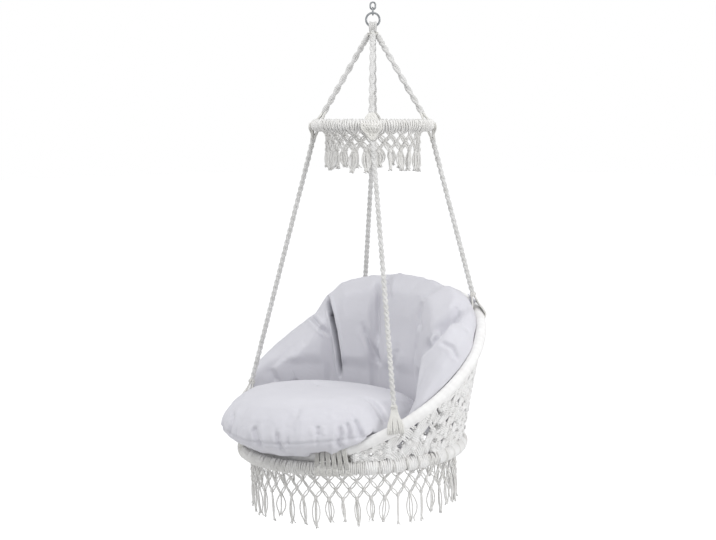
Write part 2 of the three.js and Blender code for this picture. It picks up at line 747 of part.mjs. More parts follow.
// The room straight under a stretch of a hoop, which the seat cushion needs when it is lifted off
function liftCutter(frame, radius, halfWidth, above, fromAngle, toAngle) {
  const steps = Math.max(Math.round(((toAngle - fromAngle) / turn) * hoopStations), 1);
  const rings = [];
  for (let step = 0; step <= steps; step += 1) {
    const angle = THREE.MathUtils.lerp(fromAngle, toAngle, step / steps);
    const middle = onHoop(frame, radius, angle);
    const across = hoopDirection(frame, angle).setZ(0).normalize();
    const side = new THREE.Vector3(across.y, -across.x, 0).multiplyScalar(halfWidth);
    const outer = middle.clone().add(side).setZ(middle.z + above);
    const inner = middle.clone().sub(side).setZ(middle.z + above);
    const below = new THREE.Vector3(0, 0, -seatCushionTravel);
    rings.push([outer, inner, inner.clone().add(below), outer.clone().add(below)]);
  }
  return toSolid(skin(rings));
}

// The round seat cushion: a crowned pillow that lifts at its sides, where it lies against the hoop
function makeSeatCushion() {
  const topShares = [[0, 1], [0.3, 0.98], [0.55, 0.92], [0.76, 0.76], [0.9, 0.52], [0.98, 0.22], [1, 0]];
  const bottomShares = [[0.97, 0.38], [0.85, 0.76], [0.5, 0.96], [0, 1]];
  const profile = topShares.map(([r, h]) => new THREE.Vector2(r * seatCushionRadius, h * seatCushionCrown));
  bottomShares.forEach(([r, h]) => profile.push(new THREE.Vector2(r * seatCushionRadius, -h * seatCushionBelly)));
  const geometry = new THREE.LatheGeometry(profile, cushionSegments).rotateX(quarter);
  const position = geometry.attributes.position;
  const netTop = (y) => -seatHoopDrop + (y - seatHoopCentreY) * Math.tan(radians(seatHoopTilt)) - seatNetDrop / 2;
  for (let i = 0; i < position.count; i += 1) {
    const x = position.getX(i);
    const y = position.getY(i);
    const share = Math.hypot(x, y) / seatCushionRadius;
    const ripple = 0.5 + 0.5 * Math.cos(puckers * Math.atan2(y, x));
    const pull = 1 - (seatCushionPucker / seatCushionRadius) * share ** 8 * ripple;
    const lift = seatCushionSideLift * (x / seatCushionRadius) ** 2;
    const z = -seatCushionRimDrop + lift + position.getZ(i);
    const worldY = y * pull + seatCushionCentreY;
    position.setXYZ(i, x * pull, worldY, Math.max(z, netTop(worldY) + touchGap));
  }
  const clearance = 4 * touchGap;
  const front = turn / 3;
  let solid = toSolid(geometry);
  [[backHoopFrame, backHoopRadius, backHoopWrap], [seatHoopFrame, seatHoopRadius, seatHoopWrap]].forEach((hoop) => {
    const [frame, radius, wrap] = hoop;
    solid = solid.subtract(hoopCutter(...hoop, hoopStations));
    solid = solid.subtract(liftCutter(frame, radius, wrap / 2 + clearance, clearance, -front, front));
  });
  const lashed = backHoopWrap / 2 + lashingGap + lashingThickness + clearance;
  const lashedHalf = (2.5 * lashingWidth) / backHoopRadius;
  [lashingAngle, -lashingAngle].forEach((angle) => {
    const middle = Math.asin((seatHoopRadius * Math.sin(radians(angle))) / backHoopRadius);
    const ends = [middle - lashedHalf, middle + lashedHalf];
    solid = solid.subtract(liftCutter(backHoopFrame, backHoopRadius, backHoopWrap, lashed, ...ends));
  });
  addMesh(chair, 'seat_cushion', fromSolid(solid), cloth);
}

// Seams of the back cushion, in degrees from the middle of the back, and how high it stands at each angle
const backCushionSeams = [-113, -67, -30, 30, 67, 113];
const topRiseShares = [
  [-113, 0.64], [-104, 0.78], [-90, 0.7], [-80, 0.64], [-74, 0.7], [-67, 0.86], [-60, 0.84], [-50, 0.76],
  [-40, 0.66], [-30, 0.7], [-18, 0.5], [0, 0.36], [18, 0.34], [30, 0.42], [42, 0.46], [55, 0.52], [67, 0.5],
  [80, 0.84], [92, 0.88], [102, 0.6], [113, 0.14],
];

function topRise(degrees) {
  const next = Math.max(topRiseShares.findIndex(([angle]) => angle >= degrees), 1);
  const [[from, low], [to, high]] = topRiseShares.slice(next - 1, next + 1);
  return backCushionRise * THREE.MathUtils.lerp(low, high, (degrees - from) / (to - from));
}

// One cross-section of the back cushion, from its lower edge up the inner face and down the outer one
function backCushionRing(degrees, channel, isEnd) {
  const backHoopDepth = backHoopRadius * Math.cos(radians(backHoopTilt));
  const climb = backHoopRadius * Math.sin(radians(backHoopTilt));
  const discRadius = seatCushionRadius + cushionGap * 2;
  const levelShares = [0.06, 0.25, 0.5, 0.75, 0.93];
  const fullShares = isEnd ? [0.25, 0.5, 0.6, 0.5, 0.4] : [0.45, 0.86, 1, 0.95, 0.75];
  const angle = radians(degrees);
  const sin = Math.sin(angle);
  const cos = Math.cos(angle);
  const hoopOut = 1 / Math.hypot(sin / backHoopRadius, cos / backHoopDepth);
  const hoopZ = -backHoopDrop + climb * (hoopOut * cos) / backHoopDepth;
  const seatOffset = seatCushionCentreY - backHoopCentreY;
  const discOut = seatOffset * cos + Math.sqrt(discRadius ** 2 - (seatOffset * sin) ** 2);
  const wing = THREE.MathUtils.smoothstep(Math.abs(degrees), 60, backCushionSeams.at(-1));
  const topZ = hoopZ + topRise(degrees) - channel * channelDip;
  const bottomZ = THREE.MathUtils.lerp(-backCushionBottomDrop, hoopZ - wingSink, wing);
  const pointAt = (out, z) => new THREE.Vector3(out * sin, backHoopCentreY + out * cos, z);
  const outerAt = (z) => {
    const seatOut = seatHoopRadius * 0.97 + (seatHoopCentreY - backHoopCentreY) * cos;
    const down = THREE.MathUtils.clamp((hoopZ - z) / (hoopZ + seatHoopDrop), 0, 1);
    const netOut = THREE.MathUtils.lerp(hoopOut, seatOut, down) - netThickness / 2 - netGap;
    const tubeIn = hoopOut - backHoopWrap / 2 - netThickness - cushionGap;
    return z > hoopZ - backHoopWrap ? Math.min(netOut, tubeIn) : netOut;
  };
  const inner = [];
  const outer = [];
  levelShares.forEach((share, i) => {
    const z = bottomZ + share * (topZ - bottomZ);
    const out = outerAt(z);
    const lean = backCushionBulge * Math.max(share - 0.4, 0) * Math.max(cos, 0);
    const inside = discOut + lean + channel * channelDepth * fullShares[i];
    const middle = (out + inside) / 2;
    inner.push(pointAt(THREE.MathUtils.lerp(middle, inside, fullShares[i]), z));
    outer.push(pointAt(THREE.MathUtils.lerp(middle, out, fullShares[i]), z));
  });
  const topLean = (backCushionBulge / 2) * Math.max(cos, 0);
  const bottomEdge = pointAt((outerAt(bottomZ) + discOut) / 2, bottomZ);
  const topEdge = pointAt((outerAt(topZ) + discOut + topLean) / 2, topZ);
  return [bottomEdge, ...inner, topEdge, ...outer.reverse()];
}

// The back cushion: five lobes round the back and the sides, between the net and the seat cushion
function makeBackCushion() {
  const rings = [];
  backCushionSeams.slice(1).forEach((to, lobe) => {
    const from = backCushionSeams[lobe];
    for (let station = lobe ? 1 : 0; station <= stationsPerLobe; station += 1) {
      const degrees = THREE.MathUtils.lerp(from, to, station / stationsPerLobe);
      const isEnd = rings.length === 0 || degrees === backCushionSeams.at(-1);
      const isSeam = station === stationsPerLobe && !isEnd;
      rings.push(backCushionRing(degrees, isSeam ? 1 : 0, isEnd));
    }
  });
  const backCutter = hoopCutter(backHoopFrame, backHoopRadius, backHoopWrap, hoopStations);
  addMesh(chair, 'back_cushion', fromSolid(toSolid(skin(rings)).subtract(backCutter)), cloth);
}

makeHardware();
makeCrown();
makeWinding();
makeRopes();
const { upperGroup, seatGroup } = makeHoops();
makeLashings();
makeFringes(upperGroup, seatGroup);
makeNets(seatGroup);
makeSeatCushion();
makeBackCushion();

export default chair;
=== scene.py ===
# %% [markdown]
# This lesson dresses a hanging hammock chair: two hoops wound with cotton cord, a knotted net between
# them, fringes, four plaited ropes, a steel ring with two links, and two cushions. Every piece is made
# in metres in the frame of the finished solids, so each one goes where its solid is.

# %% Load the solids
import math
import random

import bmesh
import bpy
import numpy as np
from mathutils import Matrix, Vector
from mathutils.bvhtree import BVHTree


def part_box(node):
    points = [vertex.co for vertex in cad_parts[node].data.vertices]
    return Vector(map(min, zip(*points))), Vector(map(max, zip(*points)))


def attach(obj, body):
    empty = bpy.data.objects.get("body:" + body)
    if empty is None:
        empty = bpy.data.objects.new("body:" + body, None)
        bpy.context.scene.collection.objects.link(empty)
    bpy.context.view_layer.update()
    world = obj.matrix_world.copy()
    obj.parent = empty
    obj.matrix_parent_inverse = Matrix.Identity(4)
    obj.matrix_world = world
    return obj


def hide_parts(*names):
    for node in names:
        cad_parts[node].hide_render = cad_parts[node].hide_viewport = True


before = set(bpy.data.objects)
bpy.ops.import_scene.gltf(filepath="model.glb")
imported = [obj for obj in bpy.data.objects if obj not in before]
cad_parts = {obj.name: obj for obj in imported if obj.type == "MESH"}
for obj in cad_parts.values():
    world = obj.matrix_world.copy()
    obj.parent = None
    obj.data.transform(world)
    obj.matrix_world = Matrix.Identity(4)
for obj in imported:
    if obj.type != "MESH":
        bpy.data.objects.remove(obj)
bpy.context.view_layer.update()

# %% [markdown]
# The camera comes first, because the cords are judged in its view. It stands five metres off, a little
# above the middle of the chair, and a small shift puts the chair where it sits in the picture.

# %% Place the camera
AIM = Vector((0, 0, -0.77))
AZIMUTH = math.radians(46.44)
ELEVATION = math.radians(5.3)
DISTANCE = 5.0
LENS = 84.3
SHIFT = (-0.0207, -0.0085)


def from_camera_side(azimuth, elevation):
    flat = math.cos(elevation)
    return Vector((math.sin(azimuth) * flat, -math.cos(azimuth) * flat, math.sin(elevation)))


bpy.ops.object.select_all(action="DESELECT")
toward = from_camera_side(AZIMUTH, ELEVATION)
bpy.ops.object.camera_add(location=AIM + toward * DISTANCE)
camera = bpy.context.object
camera.rotation_euler = (-toward).to_track_quat("-Z", "Y").to_euler()
camera.data.lens = LENS
camera.data.shift_x, camera.data.shift_y = SHIFT
bpy.context.scene.camera = camera
print("camera at", [round(x, 3) for x in camera.location])

# %% [markdown]
# The hoops carry everything, so their places are written down once. A point on a hoop is given by its
# angle, counted from the front towards the right, and by how far it lies outside and above the hoop's
# middle line.

# %% Describe the hoops


def middle_of(node):
    low, high = (Vector(corner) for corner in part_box(node))
    return (low + high) / 2


HOOPS = {
    "upper": {"radius": 0.166, "middle": middle_of("upper_hoop_tube"), "tilt": 0.0, "wrap": 0.015},
    "back": {"radius": 0.385, "middle": middle_of("back_hoop_tube"), "tilt": 33.8, "wrap": 0.0165},
    "seat": {"radius": 0.320, "middle": middle_of("seat_hoop_tube"), "tilt": 2.5, "wrap": 0.0175},
}


def tilt_of(hoop):
    return Matrix.Rotation(math.radians(HOOPS[hoop]["tilt"]), 3, "X")


def hoop_point(hoop, angle, out=0.0, up=0.0):
    radius = HOOPS[hoop]["radius"] + out
    flat = Vector((radius * math.sin(angle), -radius * math.cos(angle), up))
    return HOOPS[hoop]["middle"] + tilt_of(hoop) @ flat


def hoop_way(hoop, angle):
    return tilt_of(hoop) @ Vector((math.cos(angle), math.sin(angle), 0))


for hoop, facts in HOOPS.items():
    print(hoop, "hoop middle", [round(x, 4) for x in facts["middle"]])

# %% [markdown]
# All the cord work is made of tubes that follow a path: ropes, nets, knots and tassels. One helper
# joins many tubes into one mesh. It also writes a UV map, round the cord and along it, so that the lay
# of the cord can be drawn by the material.

# %% Make cords from paths
LAY_SCALE = 100


def smooth_path(points, count):
    """A smooth curve through the points, sampled evenly between them."""
    p = np.asarray(points, float)
    p = np.vstack([2 * p[0] - p[1], p, 2 * p[-1] - p[-2]])
    spans = len(p) - 3
    result = []
    for step in range(count):
        at = spans * step / (count - 1)
        span = min(int(at), spans - 1)
        t = at - span
        a, b, c, d = p[span : span + 4]
        result.append(
            0.5 * (2 * b + (c - a) * t + (2 * a - 5 * b + 4 * c - d) * t * t + (3 * b - a - 3 * c + d) * t**3)
        )
    return np.array(result)


def path_frames(points):
    """Directions along a path, and two across it that never twist."""
    along = np.gradient(points, axis=0)
    along /= np.linalg.norm(along, axis=1)[:, None] + 1e-12
    start = np.array([0.0, 0.0, 1.0]) if abs(along[0][2]) < 0.9 else np.array([1.0, 0.0, 0.0])
    side = np.cross(along[0], start)
    side /= np.linalg.norm(side)
    sides = [side]
    for i in range(1, len(points)):
        side = side - along[i] * np.dot(side, along[i])
        side /= np.linalg.norm(side) + 1e-12
        sides.append(side)
    sides = np.array(sides)
    return along, sides, np.cross(along, sides)


def finish_piece(piece, body, material):
    piece.data.materials.clear()
    piece.data.materials.append(material)
    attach(piece, body)
    return piece


def add_piece(name, verts, faces):
    mesh = bpy.data.meshes.new(name)
    mesh.from_pydata(verts, [], faces)
    piece = bpy.data.objects.new(name, mesh)
    bpy.context.scene.collection.objects.link(piece)
    return piece


def cord_piece(name, strands, material):
    """One mesh of many tubes. A strand is its points, its radius and its number of sides."""
    verts, faces, uvs = [], [], []
    start = 0
    for points, radius, sides in strands:
        points = np.asarray(points, float)
        count = len(points)
        _, across, upward = path_frames(points)
        angles = np.arange(sides) * 2 * math.pi / sides
        cosines, sines = np.cos(angles)[None, :, None], np.sin(angles)[None, :, None]
        ring = cosines * across[:, None, :] + sines * upward[:, None, :]
        verts.append((points[:, None, :] + ring * radius).reshape(-1, 3))
        lengths = np.concatenate([[0], np.cumsum(np.linalg.norm(np.diff(points, axis=0), axis=1))])
        for i in range(count - 1):
            v0, v1 = lengths[i] * LAY_SCALE, lengths[i + 1] * LAY_SCALE
            for j in range(sides):
                a, b = start + i * sides + j, start + i * sides + (j + 1) % sides
                faces.append((a, b, b + sides, a + sides))
                u0, u1 = j / sides, (j + 1) / sides
                uvs.extend(((u0, v0), (u1, v0), (u1, v1), (u0, v1)))
        last = start + (count - 1) * sides
        faces.append(tuple(start + j for j in reversed(range(sides))))
        faces.append(tuple(last + j for j in range(sides)))
        uvs.extend([(0.5, 0)] * (2 * sides))
        start += count * sides
    piece = add_piece(name, np.vstack(verts).tolist(), faces)
    layer = piece.data.uv_layers.new(name="lay")
    layer.data.foreach_set("uv", np.array(uvs).ravel())
    piece.data.polygons.foreach_set("use_smooth", [True] * len(faces))
    piece.data.update()
    print(name, len(strands), "strands", sum(len(f) - 2 for f in faces), "triangles")
    return finish_piece(piece, "chair", material)

# %% [markdown]
# Cotton cord is matt, slightly fuzzy and a soft off-white that varies from strand to strand. Fine
# slanting grooves show how it is twisted, and they follow the UV map of the cords. Cotton sheds light
# softly at its edges, which is what sheen is for. Where cord is wound round a hoop, an attribute
# darkens the lines between the turns in colour: painted shade for the shadow between the turns.

# %% Mix the cotton


def new_material(name, color, roughness):
    material = bpy.data.materials.new(name)
    material.use_nodes = True
    shader = material.node_tree.nodes["Principled BSDF"]
    shader.inputs["Base Color"].default_value = (*color, 1)
    shader.inputs["Roughness"].default_value = roughness
    return material, shader


def add_node(material, kind, **settings):
    node = material.node_tree.nodes.new(kind)
    for key, value in settings.items():
        if key in node.inputs:
            node.inputs[key].default_value = value
        else:
            setattr(node, key, value)
    return node


def join(material, source, target):
    material.node_tree.links.new(source, target)


def color_drift(material, shader, light, dark, scale):
    """Slow change between two close colours over the surface."""
    places = add_node(material, "ShaderNodeTexCoord")
    noise = add_node(material, "ShaderNodeTexNoise", Scale=scale, Detail=4.0)
    ramp = add_node(material, "ShaderNodeValToRGB")
    ramp.color_ramp.elements[0].position = 0.35
    ramp.color_ramp.elements[0].color = (*dark, 1)
    ramp.color_ramp.elements[1].position = 0.65
    ramp.color_ramp.elements[1].color = (*light, 1)
    join(material, places.outputs["Object"], noise.inputs["Vector"])
    join(material, noise.outputs["Fac"], ramp.inputs["Fac"])
    join(material, ramp.outputs["Color"], shader.inputs["Base Color"])
    return places, ramp


def add_bump(material, height, strength, distance, under=None):
    """Raises the surface by a pattern, over an earlier bump if there is one, and gives the new normal."""
    bump = add_node(material, "ShaderNodeBump", Strength=strength, Distance=distance)
    join(material, height, bump.inputs["Height"])
    if under is not None:
        join(material, under, bump.inputs["Normal"])
    return bump.outputs["Normal"]


def paint_shade_by(material, shader, drift, attribute, shade):
    """Paints shade: mixes a darker colour in where an attribute of the mesh says so."""
    amount = add_node(material, "ShaderNodeAttribute", attribute_name=attribute)
    mix = add_node(material, "ShaderNodeMixRGB", Color2=(*shade, 1))
    join(material, amount.outputs["Fac"], mix.inputs["Fac"])
    join(material, drift.outputs["Color"], mix.inputs["Color1"])
    join(material, mix.outputs["Color"], shader.inputs["Base Color"])


def cotton(name, light, dark, lay_scale, lay_depth):
    """Twisted cord: slanting grooves of the lay along the UV map, and a fuzz of fine hairs over them."""
    material, shader = new_material(name, light, 0.92)
    shader.inputs["Sheen Weight"].default_value = 0.25
    shader.inputs["Sheen Roughness"].default_value = 0.6
    places, drift = color_drift(material, shader, light, dark, 30.0)
    slant = add_node(material, "ShaderNodeMapping", Scale=(1.0, lay_scale, 1.0))
    stripes = add_node(
        material, "ShaderNodeTexWave", Scale=0.9, Distortion=0.6, Detail=2.0, bands_direction="DIAGONAL"
    )
    fuzz = add_node(material, "ShaderNodeTexNoise", Scale=900.0, Detail=3.0)
    join(material, places.outputs["UV"], slant.inputs["Vector"])
    join(material, slant.outputs["Vector"], stripes.inputs["Vector"])
    join(material, places.outputs["Object"], fuzz.inputs["Vector"])
    lay = add_bump(material, stripes.outputs["Fac"], 0.7, lay_depth)
    hair = add_bump(material, fuzz.outputs["Fac"], 0.35, 0.0006, under=lay)
    join(material, hair, shader.inputs["Normal"])
    return material, shader, drift


rope_cotton, _, _ = cotton("rope_cotton", (0.68, 0.675, 0.665), (0.59, 0.585, 0.57), 1.2, 0.0011)
net_cotton, _, _ = cotton("net_cotton", (0.91, 0.905, 0.895), (0.86, 0.85, 0.835), 2.0, 0.0007)
knot_cotton, _, _ = cotton("knot_cotton", (0.74, 0.73, 0.70), (0.66, 0.65, 0.615), 1.6, 0.0008)
fringe_cotton, _, _ = cotton("fringe_cotton", (0.82, 0.81, 0.79), (0.72, 0.71, 0.685), 1.6, 0.0008)
wound_cotton, wound_shader, wound_drift = cotton(
    "wound_cotton", (0.875, 0.87, 0.86), (0.81, 0.80, 0.79), 3.0, 0.0004
)
# Painted shade: the lines between the turns are darker in colour, for the shadow that falls between them.
paint_shade_by(wound_cotton, wound_shader, wound_drift, "groove", (0.36, 0.35, 0.34))
print("cotton materials", len([m for m in bpy.data.materials if m.name.endswith("_cotton")]))

# %% [markdown]
# The four ropes are plaited, not twisted: three strands cross over each other in turn, which gives the
# row of small hollows down the middle. Each strand swings from side to side and dips twice as often as
# it swings. The ropes are held taut by the ring, the hoops and the load, so they run nearly straight.

# %% Plait the ropes
RING_BOTTOM = -0.0684
NECK_BOTTOM = -0.0954
NECK_REACH = 0.0174
KNOT_REACH = 0.038
FOOT_REACH = 0.0623
PLAIT_STEP = 0.0045
CORNERS = {
    "front_right": (45, 57.6),
    "front_left": (-45, -57.6),
    "back_right": (135, 140.2),
    "back_left": (-135, -140.2),
}
PLAITS = {
    "upper": {"width": 0.0044, "depth": 0.0032, "strand": 0.0048, "period": 0.061},
    "lower": {"width": 0.0038, "depth": 0.0028, "strand": 0.0041, "period": 0.054},
}


def rope_places(upper_degrees, lower_degrees):
    """The points that a corner's two ropes run through, and the directions at their knots."""
    lower_angle = math.radians(lower_degrees)
    knot = hoop_point("upper", math.radians(upper_degrees))
    foot = hoop_point("back", lower_angle)
    outward = Vector((knot.x, knot.y, 0)).normalized()
    start = outward * NECK_REACH + Vector((0, 0, NECK_BOTTOM - 0.0003))
    bend = start - Vector((0, 0, 0.005))
    rise = (bend - knot).normalized()
    fall = (foot - knot).normalized()
    return {
        "knot": knot,
        "foot": foot,
        "rise": rise,
        "fall": fall,
        "outward": outward,
        "sideways": Vector((-outward.y, outward.x, 0)),
        "foot_way": hoop_way("back", lower_angle),
        "upper": [start, bend, bend.lerp(knot, 0.12), bend.lerp(knot, 0.5), knot + rise * KNOT_REACH],
        "lower": [knot + fall * KNOT_REACH, knot.lerp(foot, 0.5), foot - fall * FOOT_REACH],
    }


def plait(points, width, depth, strand, period):
    """Three strands that cross in turn along a path."""
    length = sum((b - a).length for a, b in zip(points, points[1:]))
    count = max(int(length / PLAIT_STEP), 12)
    middle = smooth_path(points, count)
    _, side, up = path_frames(middle)
    run = np.linspace(0, length, count)
    strands = []
    for k in range(3):
        phase = 2 * math.pi * (run / period + k / 3)
        line = middle + side * (width * np.sin(phase))[:, None] + up * (depth * np.sin(2 * phase))[:, None]
        strands.append((line, strand, 8))
    return strands, length


corner_places = {corner: rope_places(*angles) for corner, angles in CORNERS.items()}
for corner, places in corner_places.items():
    for level, sizes in PLAITS.items():
        strands, length = plait(places[level], **sizes)
        piece = cord_piece(f"plaited_{level}_rope_{corner}", strands, rope_cotton)
        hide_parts(f"{level}_rope_{corner}")
        print(piece.name, "length", round(length, 3))

# %% [markdown]
# Where a rope passes the upper hoop, its cords open into a woven lozenge that hugs the front and the
# back of the hoop, and close again below it. Two families of cords cross each other, and a cord that
# reaches the edge of the lozenge turns back. Doubled cords edge its lower half as a V.

# %% Open the strands over the upper hoop
HUG = (
    (0.0, 0.0172), (0.006, 0.0165), (0.011, 0.0140), (0.015, 0.0105),
    (0.019, 0.0072), (0.028, 0.0048), (0.045, 0.0034),
)
V_PLACES = (
    (-0.006, 0.0280), (0.004, 0.0290), (0.013, 0.0225), (0.022, 0.0150), (0.031, 0.0075), (0.040, 0.0005),
)
V_LIFT = 0.0024
V_STEP = 0.0044
LOZENGE_REACH = 0.043
LOZENGE_END = 0.0050
LOZENGE_BULGE = 0.0255
LOZENGE_SLANT = 0.62
LOZENGE_WEAVE = 0.0011


def table_value(at, table):
    """The value at a place, read between the (place, value) rows of a table."""
    return np.interp(at, *zip(*table))


def hug(distance):
    """How far out a cord lies at a distance above or below the middle of the hoop."""
    return float(table_value(distance, HUG))


def passing_knot(places):
    knot, out, way = places["knot"], places["outward"], places["sideways"]
    strands = []
    for face in (1, -1):
        for lean in (1, -1):
            for k in range(-3, 4):
                stops = []
                for i in range(15):
                    t = i / 7 - 1
                    share = k / 3.4 + lean * LOZENGE_SLANT * t
                    if abs(share) > 1:
                        share = math.copysign(2 - abs(share), share)
                    half = LOZENGE_END + LOZENGE_BULGE * (1 - abs(t)) ** 0.9
                    away = places["rise"] if t < 0 else places["fall"]
                    weave = LOZENGE_WEAVE * lean * math.cos(math.pi * (k + 3 * t))
                    reach = face * (hug(LOZENGE_REACH * abs(t)) + weave)
                    run = away * (LOZENGE_REACH * abs(t))
                    stops.append(knot + run + way * (share * half) + out * reach)
                strands.append((smooth_path(stops, 29), 0.0030, 7))
    return strands


def chevron(places):
    """The doubled cords that edge the lower half of the lozenge as a V."""
    knot, fall, out, way = (places[key] for key in ("knot", "fall", "outward", "sideways"))
    strands = []
    for side in (1, -1):
        for step in (0.0, V_STEP):
            stops = []
            for down, across in V_PLACES:
                lower = fall * (max(down, 0) + step * 0.9) - Vector((0, 0, min(down, 0)))
                stops.append(knot + lower + way * (side * across) + out * (hug(abs(down)) + V_LIFT))
            strands.append((smooth_path(stops, 18), 0.0022, 7))
    return strands


opened = {corner: passing_knot(places) + chevron(places) for corner, places in corner_places.items()}
for corner, cords in opened.items():
    print("opened knot", corner, "of", len(cords), "cords")

# %% [markdown]
# Where a rope ends at the back hoop it parts into three legs of three cords, and they hook round the
# hoop from both sides. Two turns of thin cord hold the rope together above them. A row of the table
# below is a place on a cord of a leg: how far up the rope, how far the legs and the cords of a leg
# stand apart there, and how far out they lie. The two knots of a corner then become its pieces.

# %% End the ropes at the back hoop
LEG_PLACES = (
    (0.068, 0.0036, 0.0010, 0.0026),
    (0.050, 0.0052, 0.0020, 0.0056),
    (0.030, 0.01023, 0.002852, 0.0104),
    (0.012, 0.01518, 0.004232, 0.0176),
    (-0.003, 0.0165, 0.0046, 0.0202),
    (-0.014, 0.0165, 0.0046, 0.0146),
)
COLLAR_UP = 0.060
COLLAR_RADIUS = 0.0092
COLLAR_CORD = 0.0018


def ending_knot(places):
    foot, up = places["foot"], -places["fall"]
    way = places["foot_way"]
    way = (way - up * way.dot(up)).normalized()
    out = way.cross(up)
    strands = []
    for face in (1, -1):
        for leg in (-1, 0, 1):
            for k in (-1, 0, 1):
                stops = [
                    foot + up * high + way * (leg * apart + k * beside) + out * (face * away)
                    for high, apart, beside, away in LEG_PLACES
                ]
                strands.append((smooth_path(stops, 22), 0.0027, 7))
    return strands


def coil(middle, turn, radius, rise, turns, steps):
    """A helix about the Z axis of a turned frame. rise is its climb with each turn."""
    points = []
    for i in range(turns * steps + 1):
        angle = 2 * math.pi * i / steps
        height = rise * (i / steps - turns / 2)
        points.append(middle + turn @ Vector((radius * math.cos(angle), radius * math.sin(angle), height)))
    return points


for corner, places in corner_places.items():
    piece = cord_piece(f"opened_knot_{corner}", opened[corner], knot_cotton)
    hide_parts(f"upper_hitch_{corner}")
    fan = ending_knot(places)
    middle = places["foot"] - places["fall"] * COLLAR_UP
    turn = places["fall"].to_track_quat("Z", "Y")
    fan.append((coil(middle, turn, COLLAR_RADIUS, COLLAR_CORD * 2.15, 2, 14), COLLAR_CORD, 6))
    piece = cord_piece(f"fanned_knot_{corner}", fan, knot_cotton)
    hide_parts(f"back_hitch_{corner}")

# %% [markdown]
# At the top all the ropes are one bundle laid over the ring. Nine cords go over the ring's wire in two
# layers. Below it their ends part to the four ropes, and a thinner cord is wound round them there to
# hold them.

# %% Lay the bundle over the ring
ACROSS = Vector((math.sqrt(0.5), math.sqrt(0.5), 0))
ALONG = Vector((math.sqrt(0.5), -math.sqrt(0.5), 0))
RING_MIDDLE = -0.0484
RING_BEND = 0.020
INNER_CORDS = 0.0044
SPLAY = ((NECK_REACH, -0.002), (0.0125, 0.004), (0.0088, 0.0085))
BUNDLE_LAYERS = (
    ((-2, -1, 0, 1, 2), 0.0047, 0.0066, 0.0029),
    ((-1.5, -0.5, 0.5, 1.5), 0.0056, 0.0110, 0.0030),
)
NECK_CORD_MIDDLE = Vector((0, 0, -0.0889))


def bundle_leg(offset, turn):
    """One end of a cord of the bundle, from the rope that it runs into up to the ring."""
    if abs(offset) > INNER_CORDS:
        head, shift = ACROSS * math.copysign(1, offset), turn * 0.0035
    else:
        head, shift = ALONG * turn, offset
    aside = Vector((-head.y, head.x, 0)) * shift
    places = [head * out + aside + Vector((0, 0, NECK_BOTTOM + up)) for out, up in SPLAY]
    under_ring = Vector((0, 0, RING_BOTTOM - 0.0125))
    return places + [ACROSS * (offset * 0.86) + ALONG * (turn * 0.0068) + under_ring]


def bundle_cord(offset, arc_radius):
    ring_z = RING_MIDDLE - math.sqrt(RING_BEND**2 - offset**2)
    arch = []
    for angle in (-92, -50, 0, 50, 92):
        a = math.radians(angle)
        lift = Vector((0, 0, ring_z + arc_radius * math.cos(a)))
        arch.append(ACROSS * offset + ALONG * (arc_radius * math.sin(a)) + lift)
    return bundle_leg(offset, -1) + arch + bundle_leg(offset, 1)[::-1]


bundle = []
for cords, spacing, arc_radius, cord_radius in BUNDLE_LAYERS:
    for k in cords:
        bundle.append((smooth_path(bundle_cord(k * spacing, arc_radius), 50), cord_radius, 8))
piece = cord_piece("rope_bundle", bundle, rope_cotton)
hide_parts("crown_saddle")

winding = coil(NECK_CORD_MIDDLE, Matrix.Identity(3), 0.0151, -0.0041, 2, 24)
piece = cord_piece("neck_winding", [(winding, 0.0018, 8)], knot_cotton)
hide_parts("gathering_wrap")

# %% [markdown]
# The links and the ring are bent from round steel wire and plated with zinc. A torus gives the bend,
# and for a link its two halves are simply moved apart in edit mode, which stretches the straight sides.

# %% Bend the links and the ring
LINK = {"bend": 0.0075, "wire": 0.005, "straight": 0.006}
RING = {"bend": RING_BEND, "wire": 0.006, "straight": 0.0}

zinc, zinc_shader = new_material("plated_zinc", (0.25, 0.26, 0.27), 0.36)
zinc_shader.inputs["Metallic"].default_value = 1.0
zinc_places, _ = color_drift(zinc, zinc_shader, (0.27, 0.28, 0.29), (0.18, 0.19, 0.20), 260.0)
spangle = add_node(zinc, "ShaderNodeTexNoise", Scale=700.0, Detail=2.0)
join(zinc, zinc_places.outputs["Object"], spangle.inputs["Vector"])
join(zinc, add_bump(zinc, spangle.outputs["Fac"], 0.25, 0.0003), zinc_shader.inputs["Normal"])


def add_torus(name, bend, radius, steps, sides):
    bpy.ops.object.select_all(action="DESELECT")
    bpy.ops.mesh.primitive_torus_add(
        major_radius=bend, minor_radius=radius, major_segments=steps, minor_segments=sides, generate_uvs=True
    )
    bpy.context.object.name = name
    return bpy.context.object


def reshape(piece, chosen, operator, **settings):
    """Selects the vertices that chosen picks, in edit mode, and runs an operator on them."""
    bpy.ops.object.mode_set(mode="EDIT")
    bpy.ops.mesh.select_all(action="DESELECT")
    edit = bmesh.from_edit_mesh(piece.data)
    for vert in edit.verts:
        vert.select = chosen(vert)
    edit.select_flush_mode()
    bmesh.update_edit_mesh(piece.data)
    operator(**settings)
    bpy.ops.object.mode_set(mode="OBJECT")


def choose(piece):
    """Makes a piece the only one selected, and the active one."""
    bpy.ops.object.select_all(action="DESELECT")
    piece.select_set(True)
    bpy.context.view_layer.objects.active = piece


def settle(piece):
    """Puts an object's place and turn into its mesh."""
    choose(piece)
    bpy.ops.object.transform_apply(location=True, rotation=True, scale=True)


def wire_ring(name, middle, facing, bend, wire, straight):
    piece = add_torus(name, bend, wire / 2, 48, 20)
    for sign in (1, -1):
        shift = (0, sign * straight / 2, 0)
        reshape(piece, lambda vert: vert.co.y * sign > 1e-5, bpy.ops.transform.translate, value=shift)
    piece.rotation_euler = (math.pi / 2, 0, facing)
    piece.location = (0, 0, middle)
    settle(piece)
    bpy.ops.object.shade_smooth()
    print(name, "at", middle)
    return piece


